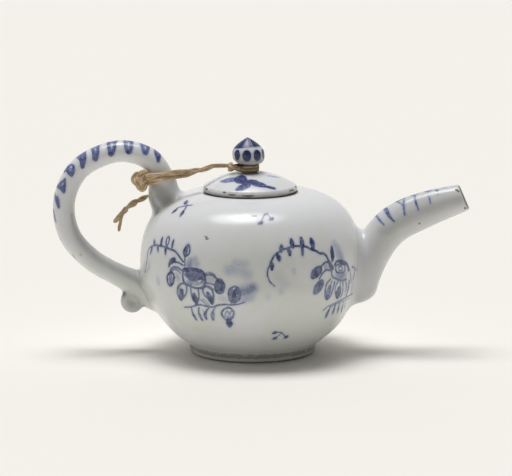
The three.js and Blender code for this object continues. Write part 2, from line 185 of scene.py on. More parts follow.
def meshPiece(name, points, corners, sizes, marks):
    # an object from points, the corners of its faces one after another, and how many corners each face has
    mesh = bpy.data.meshes.new(name)
    mesh.vertices.add(len(points))
    mesh.vertices.foreach_set("co", place(points).astype(np.float32).ravel())
    mesh.loops.add(len(corners))
    mesh.loops.foreach_set("vertex_index", corners.astype(np.int32))
    mesh.polygons.add(len(sizes))
    mesh.polygons.foreach_set("loop_start", (np.cumsum(sizes) - sizes).astype(np.int32))
    mesh.polygons.foreach_set("use_smooth", np.ones(len(sizes), bool))
    mesh.update(calc_edges=True)
    for key, value in marks.items():
        vector = value.ndim > 1 and value.shape[1] == 3
        mark = mesh.attributes.new(key, "FLOAT_VECTOR" if vector else "FLOAT", "POINT")
        mark.data.foreach_set("vector" if vector else "value", value.astype(np.float32).ravel())
    piece = bpy.data.objects.new(name, mesh)
    scene.collection.objects.link(piece)
    return piece


def patchedNet(fine, times, wanted):
    # a coarse net over every few points of a fine grid, whose wanted cells keep all their points; a cell
    # beside one takes the points of their shared side into its outline, so nothing gapes
    wide = fine.shape[1]
    row, column = np.meshgrid(np.arange(wanted.shape[0]), np.arange(wanted.shape[1]), indexing="ij")
    ids = lambda i, j: (row[..., None] * times + i) * wide + (column[..., None] * times + j) % wide
    step, none, full = np.arange(times), np.zeros(times, int), np.full(times, times)
    outline = ids(np.concatenate([none, step, full, times - step]),
                  np.concatenate([step, full, times - step, none]))
    above, below = np.zeros_like(wanted), np.zeros_like(wanted)
    above[1:], below[:-1] = wanted[:-1], wanted[1:]
    sides = np.stack([above, np.roll(wanted, -1, axis=1), below, np.roll(wanted, 1, axis=1)], axis=-1)
    kept = np.repeat(sides, times, axis=-1)
    kept[..., ::times] = True
    kept &= ~wanted[..., None]
    i, j = (part.ravel() for part in np.meshgrid(step, step, indexing="ij"))
    quads = np.stack([ids(i, j), ids(i, j + 1), ids(i + 1, j + 1), ids(i + 1, j)], axis=-1)
    quads = quads[wanted].reshape(-1, 4)
    first, last = np.arange(0, wide, times), (fine.shape[0] - 1) * wide + np.arange(0, wide, times)
    count = fine.shape[0] * wide
    fans = np.vstack([
        np.stack([np.full(len(first), count), first, np.roll(first, -1)][::-1], axis=1),
        np.stack([np.full(len(last), count + 1), last, np.roll(last, -1)], axis=1),
    ])
    corners = np.concatenate([outline[kept], quads.ravel(), fans.ravel()])
    plain = kept.sum(axis=-1)[~wanted]
    sizes = np.concatenate([plain, np.full(len(quads), 4), np.full(len(fans), 3)])
    points = np.vstack([fine.reshape(-1, 3), fine[0].mean(axis=0), fine[-1].mean(axis=0)])
    used, corners = np.unique(corners, return_inverse=True)
    return points[used], corners.ravel(), sizes


# Twine
# One cord, from the turns round the knob's neck, through its knot, over to the handle and round its root.
# A lay holds a width, a pitch, a phase and how dark it is. The widths of the bridge, the tail and the neck's
# strands stand on their own, the bridge is nowhere dark, and a loose end or a neck's strand has no pitch.
twine = {
    "neckAxis": -0.5, "neckRadius": 2.42, "neckMiddle": 50.42, "neckPitch": 0.82, "neckPasses": 2,
    "neckStrand": 0.6, "neckBeside": 0.22,
    "neckPull": [(-5.4, -0.6, 50.5), (-4.4, -1.2, 50.5), (-3.4, -1.6, 50.4), (-2.6, -2.1, 50.25)],
    "neckKnotOut": 4.2, "neckKnot": (-5.5, -0.3, 50.55), "neckKnotSize": 2.9, "neckKnotWidth": 1.1,
    "bridge": [(-6.35, -0.6, 51.1), (-10, -1.7, 51.0), (-13.3, -2.8, 50.2), (-16.5, -3.7, 49.7),
               (-19.7, -4.6, 49.3), (-22.6, -5.3, 49), (-25.3, -5.2, 48.5), (-27.9, -4.6, 47.8)],
    "bridgeWidths": [0.95, 1.1, 1.3, 1.5, 1.65], "bridgeSpreads": [0.1, 0.3, 0.5, 0.66, 0.8],
    "handleKnot": (-29.6, -3.4, 47.5), "handleKnotSize": 6.5, "handleKnotWidth": 2.1,
    "turnOut": 0.7, "turnStart": 0.135, "turnTop": 0.132, "turnEnd": 0.086,
    "tail": [(-27.62, 3.5, 42.1), (-29, 2.5, 41.6), (-30.7, 1.8, 40.9), (-32.5, 1.3, 39.9), (-34.2, 1, 38.6)],
    "tailWidths": [1.1, 1.45, 1.7, 1.6, 1.25],
    "tailA": [(-33.7, 1.1, 39), (-35.3, 0.8, 37.2), (-37.1, 0.6, 35.2)],
    "tailB": [(-33.7, 1, 39), (-35, 0.3, 36.8), (-35.4, 0, 34.9), (-35.8, -0.3, 32.9)],
    "lays": {"link": (1.2, 4, 0.5, 0), "neckLink": (1.0, 4, 0.1, 0), "pull": (1.35, 5, 0.6, 0.3),
             "turn": (1.2, 5, 0.9, 0)},
    "bridgeLays": [(15, 0.4), (17, 2.1)], "tailLay": (6.5, 1.5, 0.14), "strandOut": 0.21, "strandWide": 0.62,
    "ends": [(1.35, 0.3, 0), (0.85, 2.2, 0)], "neckLays": [(1.1, 0.25), (2.9, 0.7)],
    "hairs": 90, "hairLength": 1.1, "hairWidth": 0.045, "knotHairs": 26, "knotHairLength": 1.0, "seed": 11,
}

handle = {
    "line": [(-10.2, 14.5), (-6.9, 19.7), (-5.8, 24.6), (-2.8, 29.8), (4.2, 32.15), (11, 30.6),
             (17, 26.5), (20.5, 18), (18.9, 9), (13.1, 2.4), (4.9, -2.3), (-4, -6.4)],
    "thickness": 5.9, "rootThickness": 12.6, "rootRun": 0.24, "endThickness": 10, "endRun": 0.16,
    "roundness": 1.08, "columns": 112, "rows": (330, 200), "rootFillet": 1.6, "endFillet": 1.3,
    "curl": (-32.2, 0, 13.95), "curlRadius": 3.1, "curlHalf": 3.7, "curlRounding": 1.9, "curlBlend": 1.6,
    "curlFrom": 0.82,
    "dimple": (0.14, 1.2), "groove": (0.05, 2.2, 0.45),
}
handleMm = np.array([(-30 - out, 0, 22.7 + up) for out, up in handle["line"]])
handlePoints = 2400
handleEven = evenly(smoothCurve(handleMm, np.linspace(0, 1, handlePoints)), handlePoints)
handleLength = float(np.linalg.norm(np.diff(handleEven, axis=0), axis=1).sum())


def curlGap(points):
    # distance outside a rounded disc that lies across the view
    p, rounding = points - np.array(handle["curl"]), handle["curlRounding"]
    across = np.hypot(p[..., 0], p[..., 2]) - (handle["curlRadius"] - rounding)
    deep = np.abs(p[..., 1]) - (handle["curlHalf"] - rounding)
    beyond = np.hypot(np.maximum(across, 0), np.maximum(deep, 0))
    return beyond + np.minimum(np.maximum(across, deep), 0) - rounding


def curledOut(centre, way, half):
    # how many half widths out a ray from the centreline leaves the handle and its curl, which flow together by
    # a quadratic blend of their gaps: the outermost of 60 steps that lies inside, made exact by halving
    def gap(out):
        # the handle's own gap and the curl's, blended
        own, curl = (out - 1) * half, curlGap(centre + way * (out * half)[..., None])
        share = np.clip(0.5 + 0.5 * (curl - own) / handle["curlBlend"], 0, 1)
        return curl + (own - curl) * share - handle["curlBlend"] * share * (1 - share)

    steps = np.linspace(4, 1, 61)
    inside = np.stack([gap(np.full(half.shape, step)) <= 0 for step in steps])
    inside[-1] = True
    first = np.argmax(inside, axis=0)
    near, far = steps[first], steps[np.maximum(first - 1, 0)]
    for _ in range(18):
        middle = (near + far) / 2
        held = gap(middle) <= 0
        near, far = np.where(held, middle, near), np.where(held, far, middle)
    return near


def handleSurface(share, angle, away=0.0):
    # an oval ring round the centreline, thicker near both ends by quadratic eases, its angle 0 on the bend's
    # outer side, where a curl hangs off its end; past the last point the line runs straight on, into the pot
    share, angle = np.broadcast_arrays(np.asarray(share, float), np.asarray(angle, float))
    at = np.clip(share, 0, 1) * (len(handleEven) - 1)
    centre = np.stack([np.interp(at, np.arange(len(handleEven)), handleEven[:, k]) for k in range(3)], axis=-1)
    slope = np.gradient(handleEven, axis=0)
    tangent = unit(np.stack([np.interp(at, np.arange(len(slope)), slope[:, k]) for k in range(3)], axis=-1))
    centre = centre + tangent * (np.maximum(share - 1, 0) * handleLength)[..., None]
    outward = np.stack([tangent[..., 2], 0 * at, -tangent[..., 0]], axis=-1)
    ease = lambda x: np.maximum(0, 1 - x) ** 2
    thick = handle["thickness"]
    thick = thick + (handle["rootThickness"] - handle["thickness"]) * ease(share / handle["rootRun"])
    left = 1 - np.minimum(share, 1)
    thick = thick + (handle["endThickness"] - handle["thickness"]) * ease(left / handle["endRun"])
    half, sideways = thick / 2, np.array([0.0, 1.0, 0.0])
    cos, sin = np.cos(angle)[..., None], np.sin(angle)[..., None]
    way = outward * cos + sideways * handle["roundness"] * sin
    out, late = np.ones(share.shape), share > handle["curlFrom"]
    if late.any():
        out[late] = curledOut(centre[late], way[late], half[late])
    spots = centre + way * (out * half)[..., None] + (outward * cos + sideways * sin) * away
    x, y, z = handle["curl"]
    ring = np.hypot(spots[..., 0] - x, spots[..., 2] - z)
    (deep, wide), (cut, where, narrow) = handle["dimple"], handle["groove"]
    hollow = deep * np.exp(-((ring / wide) ** 2)) + cut * np.exp(-(((ring - where) / narrow) ** 2))
    spots[..., 1] *= 1 - hollow * late
    return spots


def carriedFrames(line):
    # tangents, and normals carried along the line without twisting about it
    tangent = unit(np.gradient(line, axis=0))
    normal = np.zeros_like(line)
    start = np.cross(tangent[0], (0.3, 0.9, 0.2))
    normal[0] = start / np.linalg.norm(start)
    for i in range(1, len(line)):
        step = normal[i - 1] - tangent[i] * np.dot(normal[i - 1], tangent[i])
        normal[i] = step / np.linalg.norm(step)
    return tangent, normal, np.cross(tangent, normal)


def strandGrid(line, width, phase, sides=9, rough=0.07, taper=(1, 1)):
    # a ring of points round each point of the line, its radius rippled by fibres that wind slowly round it
    tangent, normal, across = carriedFrames(line)
    run = np.concatenate([[0], np.cumsum(np.linalg.norm(np.diff(line, axis=0), axis=1))])
    angle = np.linspace(0, 2 * np.pi, sides, endpoint=False)[None, :] + np.zeros((len(line), 1))
    along = run[:, None]
    ripple = np.sin(3 * angle + 1.9 * along + phase) + 0.7 * np.sin(5 * angle - 1.1 * along + 2.3 * phase)
    ease = np.clip(np.minimum(run / 0.5, (run[-1] - run) / 0.5), 0, 1)
    ends = np.where(run < run[-1] / 2, taper[0] + (1 - taper[0]) * ease, taper[1] + (1 - taper[1]) * ease)
    swell = 1 + 0.08 * np.sin(0.9 * run + phase) + 0.05 * np.sin(2.3 * run + 1.7 * phase)
    radius = (width / 2 * ends * swell)[:, None] * (1 + rough * ripple)
    ring = line[:, None] + radius[..., None] * (
        np.cos(angle)[..., None] * normal[:, None] + np.sin(angle)[..., None] * across[:, None])
    fibre = np.stack([np.cos(angle) + 3.7 * phase, np.sin(angle), along + 0 * angle], axis=-1)
    return ring, fibre


def laidStrands(line, width, pitch, phase, strands=2, step=0.16):
    # each strand's line circles the cord's line at about a fifth of its width, once in each pitch; a list of
    # widths is spread evenly along the line
    length = np.linalg.norm(np.diff(line, axis=0), axis=1).sum()
    even = evenly(line, max(6, int(length / step)))
    tangent, normal, across = carriedFrames(even)
    run = np.linspace(0, length, len(even))
    width = np.interp(run / length, np.linspace(0, 1, np.size(width)), np.ravel(width))
    grids, fibres = [], []
    for k in range(strands):
        angle = 2 * np.pi * (run / pitch + k / strands) + phase
        offset = (width * twine["strandOut"])[:, None]
        strand = even + offset * (np.cos(angle)[:, None] * normal + np.sin(angle)[:, None] * across)
        grid, fibre = strandGrid(strand, width * twine["strandWide"], phase + 1.3 * k)
        grids.append(grid)
        fibres.append(fibre)
    return grids, fibres


def neckLine():
    # a helix round the knob's neck that leaves on level tangents to the knot beside it
    opening = math.acos(twine["neckRadius"] / twine["neckKnotOut"])
    sweep = 2 * math.pi * twine["neckPasses"] - 2 * opening
    share = np.linspace(0, 1, 120)
    angle = math.pi + opening + sweep * share
    rise = twine["neckPitch"] * sweep / (2 * math.pi)
    x = twine["neckAxis"] + twine["neckRadius"] * np.cos(angle)
    up = twine["neckMiddle"] + rise * (share - 0.5)
    loop = np.stack([x, twine["neckRadius"] * np.sin(angle), up], axis=1)
    knot = np.array(twine["neckKnot"])
    return np.vstack([knot * 0.8 + loop[0] * 0.2, loop, knot * 0.8 + loop[-1] * 0.2])


def rootTurnLine():
    # round the handle's own section, from the knot over its outer side and back to its inner side; its place
    # along the handle is the parabola through the three that are given
    share = np.linspace(0, 1, 60)
    along = (twine["turnStart"] * (1 - share) * (1 - 2 * share) + twine["turnTop"] * 4 * share * (1 - share)
             + twine["turnEnd"] * share * (2 * share - 1))
    return handleSurface(along, math.pi * (1.2 + 1.58 * share), twine["turnOut"])


def knotLine(centre, size, width, turn, count=90):
    # three lobes of an overhand knot: sines and cosines of the angle, its double and its triple, then turned
    # about each axis in turn
    angle = np.linspace(0, 2 * np.pi, count)
    p = np.stack([np.sin(angle) + 2 * np.sin(2 * angle), 0.8 * (np.cos(angle) - 2 * np.cos(2 * angle)),
                  -1.5 * np.sin(3 * angle)], axis=1) * (size - width) / 6
    for axis, degrees in enumerate(turn):
        c, s = math.cos(math.radians(degrees)), math.sin(math.radians(degrees))
        i, j = [(1, 2), (2, 0), (0, 1)][axis]
        p[:, i], p[:, j] = c * p[:, i] - s * p[:, j], s * p[:, i] + c * p[:, j]
    return p + centre


def hairGrids(lines, count, length, width, seed):
    # fine fibres that spring from the cord's side and curl away, tapering to a point
    random = np.random.default_rng(seed)
    every = np.vstack([evenly(line, 200) for line in lines])
    ways = np.vstack([unit(np.gradient(evenly(line, 200), axis=0)) for line in lines])
    grids, fibres = [], []
    for _ in range(count):
        k = random.integers(len(every))
        away = random.normal(size=3)
        away -= ways[k] * np.dot(away, ways[k])
        away /= np.linalg.norm(away)
        lean = ways[k] * random.uniform(-1.2, 1.2)
        reach = length * random.uniform(0.35, 1)
        share = np.linspace(0, 1, 9)[:, None]
        start = every[k] + away * 0.42
        curl = random.normal(size=3) * 0.45
        wave = 0.14 * np.sin(share * random.uniform(4, 9)) * random.normal(size=3)
        line = start + reach * (share * (away * 0.45 + lean * 0.6) + share**2 * (curl + lean * 0.3) + wave)
        tangent, normal, across = carriedFrames(line)
        angle = np.linspace(0, 2 * np.pi, 3, endpoint=False)
        radius = width / 2 * (1 - 0.8 * share[..., None])
        about = np.cos(angle)[:, None] * normal[:, None] + np.sin(angle)[:, None] * across[:, None]
        ring = line[:, None] + radius * about
        grids.append(ring)
        fibres.append(np.broadcast_to(np.array([5.0 + k * 0.01, 1, 0]), ring.shape) + 0)
    return grids, fibres


def makeTwine():
    # the cord with its loose ends and hairs, its two knots, and the path it runs along
    neck = neckLine()
    bridge = smoothCurve(twine["bridge"], np.linspace(0, 1, 120))
    turn = rootTurnLine()
    tail = smoothCurve(twine["tail"], np.linspace(0, 1, 60))
    endA = smoothCurve(twine["tailA"], np.linspace(0, 1, 24))
    endB = smoothCurve(twine["tailB"], np.linspace(0, 1, 24))
    tangent, normal, across = carriedFrames(evenly(bridge, 120))
    run = np.linspace(0, 1, 120)
    swing = np.interp(run, np.linspace(0, 1, len(twine["bridgeSpreads"])), twine["bridgeSpreads"])
    upward = np.array([0, -0.25, 1.0])
    up = unit(upward - tangent * (tangent @ upward)[:, None])
    side = np.cross(tangent, up)
    cross = np.pi * 0.9 * np.clip((0.55 - run) / 0.3, 0, 1)
    apart = swing[:, None] * (np.cos(cross)[:, None] * up + np.sin(cross)[:, None] * side)
    lines = [evenly(bridge, 120) + sign * apart for sign in (1, -1)]
    grids, fibres, shadesAndStains = [], [], []
    bend = np.array(twine["handleKnot"]) + (0.4, -1.0, -0.4)
    link = smoothCurve([lines[0][-1] * 0.5 + lines[1][-1] * 0.5, bend, turn[0]], np.linspace(0, 1, 30))
    neckLink = smoothCurve([neck[-1], np.array(twine["neckKnot"]), bridge[0]], np.linspace(0, 1, 16))
    pull = smoothCurve(twine["neckPull"], np.linspace(0, 1, 16))
    lays = twine["lays"]
    bridges = [(line, twine["bridgeWidths"], *lay, 0) for line, lay in zip(lines, twine["bridgeLays"])]
    for line, width, pitch, phase, dark in (
            (link, *lays["link"]), (neckLink, *lays["neckLink"]), (pull, *lays["pull"]), *bridges,
            (turn, *lays["turn"]), (tail, twine["tailWidths"], *twine["tailLay"])):
        made = laidStrands(line, width, pitch, phase)
        grids += made[0]
        fibres += made[1]
        shadesAndStains += [np.full(grid.shape[:2], dark) for grid in made[0]]
    beside, wide = np.array([0, 0, twine["neckBeside"]]), twine["neckStrand"]
    loose = [(line, *end, 34, 0.35) for line, end in zip((endA, endB), twine["ends"])]
    # the neck's lower strand is painted darker than its upper one, as painted shade
    wound = [(line, wide, *lay, 220, 1) for line, lay in zip((neck + beside, neck - beside), twine["neckLays"])]
    for line, width, phase, dark, count, last in loose + wound:
        grid, fibre = strandGrid(evenly(line, count), width, phase, taper=(1, last))
        grids.append(grid)
        fibres.append(fibre)
        shadesAndStains.append(np.full(grid.shape[:2], dark))
    hairs = hairGrids([*lines, tail, endA, endB, neck], twine["hairs"], twine["hairLength"],
                      twine["hairWidth"], twine["seed"])
    shadesAndStains += [np.zeros(grid.shape[:2]) for grid in hairs[0]]
    cord = gridPiece("twine_cord", grids + hairs[0], {"fibre": fibres + hairs[1], "shadeAndStain": shadesAndStains})
    knots = []
    for name, centre, size, width, turnBy in (
            ("neck", twine["neckKnot"], twine["neckKnotSize"], twine["neckKnotWidth"], (0, 70, 0)),
            ("handle", twine["handleKnot"], twine["handleKnotSize"], twine["handleKnotWidth"], (90, 105, 0))):
        line = knotLine(np.array(centre), size, width, turnBy)
        if name == "handle":
            line = centre + (line - centre) * (0.9, 1, 1.16)
        laid = laidStrands(line, width, width * 2.6, 0.7)
        core = coreGrid(np.array(centre), size * 0.3)
        hair = hairGrids([line], twine["knotHairs"], twine["knotHairLength"], twine["hairWidth"],
                         twine["seed"] + len(knots))
        knots.append(gridPiece("twine_knot_" + name, laid[0] + [core[0]] + hair[0],
                               {"fibre": laid[1] + [core[1]] + hair[1]}))
    path = np.vstack([neck, neckLink[1:], bridge[1:], link[1:], turn[1:], tail, endB[1:]])
    return cord, knots, path


def coreGrid(centre, radius):
    # a small ball that fills the middle of a knot
    up = np.linspace(0.02, np.pi - 0.02, 12)[:, None]
    angle = np.linspace(0, 2 * np.pi, 18, endpoint=False)[None, :]
    ring = np.stack([np.sin(up) * np.cos(angle), np.sin(up) * np.sin(angle), np.cos(up) + 0 * angle], axis=-1)
    return centre + radius * ring, ring * 1.7


cord, knots, cordPath = makeTwine()
tuple(place((-20, 0, 50)))
tuple(place((-9, 0, 50)))
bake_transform(cord)
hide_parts("twine_neck_turns", "twine_bridge", "twine_handle_turn", "twine_tail")
for knot, body, node in zip(knots, ("twine_collar", "pot"), ("twine_neck_knot", "twine_handle_knot")):
    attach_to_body(knot, body)
    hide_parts(node)
cordLength = float(np.linalg.norm(np.diff(cordPath, axis=0), axis=1).sum()) / 1000
tuple(place(cordPath[0]))
place(cordPath).tolist()
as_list(knots)
print("twine laid,", round(cordLength * 1000, 1), "mm")

# Pot body
pot = {
    "belly": 30, "bellyHeight": 22.7, "shoulder": (21.8, 3.9, 2.5), "under": (25.5, 2.2, 1.5), "wall": 2,
    "hole": 0.5, "floorFillet": (1.6, 0.1, 6), "mouth": (9.7, 42.4),
    "foot": [(0.5, 2.3), (13.7, 2.3), (14.1, 0.45), (14.5, 0), (16.5, 0), (16.9, 0.5), (17.25, 2.3),
             (17.7, 3.0)],
    "footMeets": 18.7, "footShift": 0.45,
    "seat": [(13.35, 43.85), (13.2, 43.8), (10, 43.8), (9.7, 43.5), (9.7, 42.2)], "seatShift": -0.3,
    "floor": 4.7, "columns": 300, "times": 3, "finerWithin": 0.5,
    "rows": {"foot": 24, "outer": 92, "seat": 13, "inside": 24},
    "waviness": 0.11, "fuller": (0.7, 8.5, 4.5),
}


def formAt(angle, grow=0.0, upper=True):
    # a quarter of the rounded outline: cosine and sine of the angle, each to a power, by the two reaches
    reach, across, up = pot["shoulder"] if upper else pot["under"]
    radius = (pot["belly"] + grow) * np.cos(angle) ** (2 / across)
    height = (reach + grow) * np.sin(angle) ** (2 / up)
    return np.stack([radius, pot["bellyHeight"] + (height if upper else -height)], axis=-1)


def waves(points):
    # slow swells left by the thrower's hands, fading towards the foot and the mouth, and a fuller lower side
    # towards the spout, by a bell curve over the height
    x, y, z = points[..., 0], points[..., 1], points[..., 2]
    turn = np.arctan2(y, x)
    fade = np.clip(z / 8, 0, 1) * np.clip((43 - z) / 6, 0, 1)
    swell = np.sin(2 * turn + 0.6 + z / 30) + 0.6 * np.sin(3 * turn - z / 9)
    swell = swell + 0.35 * np.sin(5 * turn + 1 + z / 5)
    rings = 0.3 * np.sin(z / 1.5 + 0.4 * np.sin(turn))
    much, height, spread = pot["fuller"]
    fuller = much * np.exp(-(((z - height) / spread) ** 2)) * np.clip(np.cos(turn), 0, 1) ** 2
    fuller = fuller * np.clip((z - 2.5) / 3, 0, 1)
    return pot["waviness"] * fade * (swell + rings) * 0.5 + fuller


def bodyGap(points):
    # distance outside the pot's form, its equation over its slope less the swells, and the way straight out
    x, y, up = points[..., 0], points[..., 1], points[..., 2] - pot["bellyHeight"]
    radius = np.maximum(np.hypot(x, y), 1e-6)
    reach, across, power = (np.where(up > 0, a, b) for a, b in zip(pot["shoulder"], pot["under"]))
    rise = np.abs(up) / reach
    value = (radius / pot["belly"]) ** across + rise**power - 1
    level = across / pot["belly"] * (radius / pot["belly"]) ** (across - 1)
    steep = power / reach * np.maximum(rise, 1e-9) ** (power - 1) * np.sign(up)
    slope = np.hypot(level, steep)
    out = np.stack([level * x / radius, level * y / radius, steep], axis=-1) / slope[..., None]
    return value / slope - waves(points), out


def ontoBody(points, above=0.0):
    # four steps along the slope bring points to a height above the pot's surface
    for _ in range(4):
        gap, out = bodyGap(points)
        points = points - (gap - above)[..., None] * out
    return points


def turnedGrid(profile, turns, shifts):
    # a profile of radius and height carried round the upright axis, each row moved along x by its own shift
    radius, height = profile[:, 0][:, None], profile[:, 1][:, None]
    x = radius * np.cos(turns)[None, :] + shifts[:, None]
    return np.stack([x, radius * np.sin(turns)[None, :], height + 0 * x], axis=-1)


def makePotGrid():
    # the outline from under the foot over the bowl and the seat to the floor inside, turned and swollen
    steep = np.linspace(0, np.pi / 2, 1500)
    lower, upper = formAt(steep, 0, False), formAt(steep)
    inLower, inUpper = formAt(steep, -pot["wall"], False), formAt(steep, -pot["wall"])
    meets = pot["footMeets"]
    bowl = lower[lower[:, 0] > meets][::-1]
    shoulder = upper[upper[:, 0] > pot["seat"][0][0] + 0.25]
    corner = np.array([meets, bowl[0, 1]])
    foot = softened([*pot["foot"], tuple(corner)], 0.4)
    floor, (back, above, flat) = pot["floor"], pot["floorFillet"]
    inside = np.vstack([inUpper[inUpper[:, 0] > pot["mouth"][0]][::-1], inLower[inLower[:, 1] > floor + 1.0]])
    inside = np.vstack([[pot["mouth"]], inside[1:],
                        [(inside[-1, 0] - back, floor + above), (flat, floor), (pot["hole"], floor)]])
    fine = {key: value * pot["times"] for key, value in pot["rows"].items()}
    seat = softened([tuple(shoulder[-1]), *pot["seat"]], 0.18)
    lines = {"foot": foot, "outer": np.vstack([bowl, shoulder]), "seat": seat, "inside": inside}
    profile = np.vstack([evenly(lines[key], fine[key] + 1)[:-1] for key in fine] + [inside[-1:]])
    footRows, seatFrom = fine["foot"], fine["foot"] + fine["outer"]
    index = np.arange(len(profile))
    shifts = np.where(index < footRows, pot["footShift"], 0.0)
    near = np.clip((17 - profile[:, 0]) / 3.5, 0, 1) * (profile[:, 1] > 40)
    shifts = np.where(profile[:, 1] > 40, pot["seatShift"] * near * near * (3 - 2 * near), shifts)
    ease = np.clip((5.5 - profile[:, 1]) / 2, 0, 1) * (index >= footRows) * (index < seatFrom)
    shifts = shifts + pot["footShift"] * ease * ease * (3 - 2 * ease)
    turns = np.linspace(-np.pi, np.pi, pot["columns"] * pot["times"], endpoint=False)
    grid = turnedGrid(profile, turns, shifts)
    outer = (index >= footRows) & (index < seatFrom)
    gap, out = bodyGap(grid)
    return grid + (waves(grid) * outer[:, None])[..., None] * out


def makePot():
    # the bowl's net, finer where it is painted, with its paint and its worn, rusty and dirty places
    fine, times = makePotGrid(), pot["times"]
    middles = fine[:-1, :][times // 2::times, times // 2::times]
    wanted = strokeDepth(middles, potStrokes()) > -pot["finerWithin"]
    points, corners, sizes = patchedNet(fine, times, wanted)
    print("pot's net:", int((sizes - 2).sum()), "triangles")
    paint = np.stack(paintOn(points, potStrokes(), potStrokes("washes")), axis=1)
    radius, height = np.hypot(points[:, 0], points[:, 1]), points[:, 2]
    ring = np.clip((0.75 - height) / 0.3, 0, 1) * (radius > 13)
    seat = np.clip((radius - 9.6) / 0.4, 0, 1) * np.clip((12.9 - radius) / 0.3, 0, 1) * (height > 43)
    cover, strength = paintOn(points, [(*stroke, potPlace) for stroke in readOff("specks")])[:2]
    rust = cover * strength
    crease = np.clip(1 - (height - 2.2) / 1.2, 0, 1) * np.clip((height - 0.9) / 0.6, 0, 1) * (radius > 16)
    wear = np.stack([np.maximum(ring, 0.8 * seat), rust, crease], axis=1)
    return meshPiece("pot_bowl", points, corners, sizes, {"paint": paint, "wear": wear})
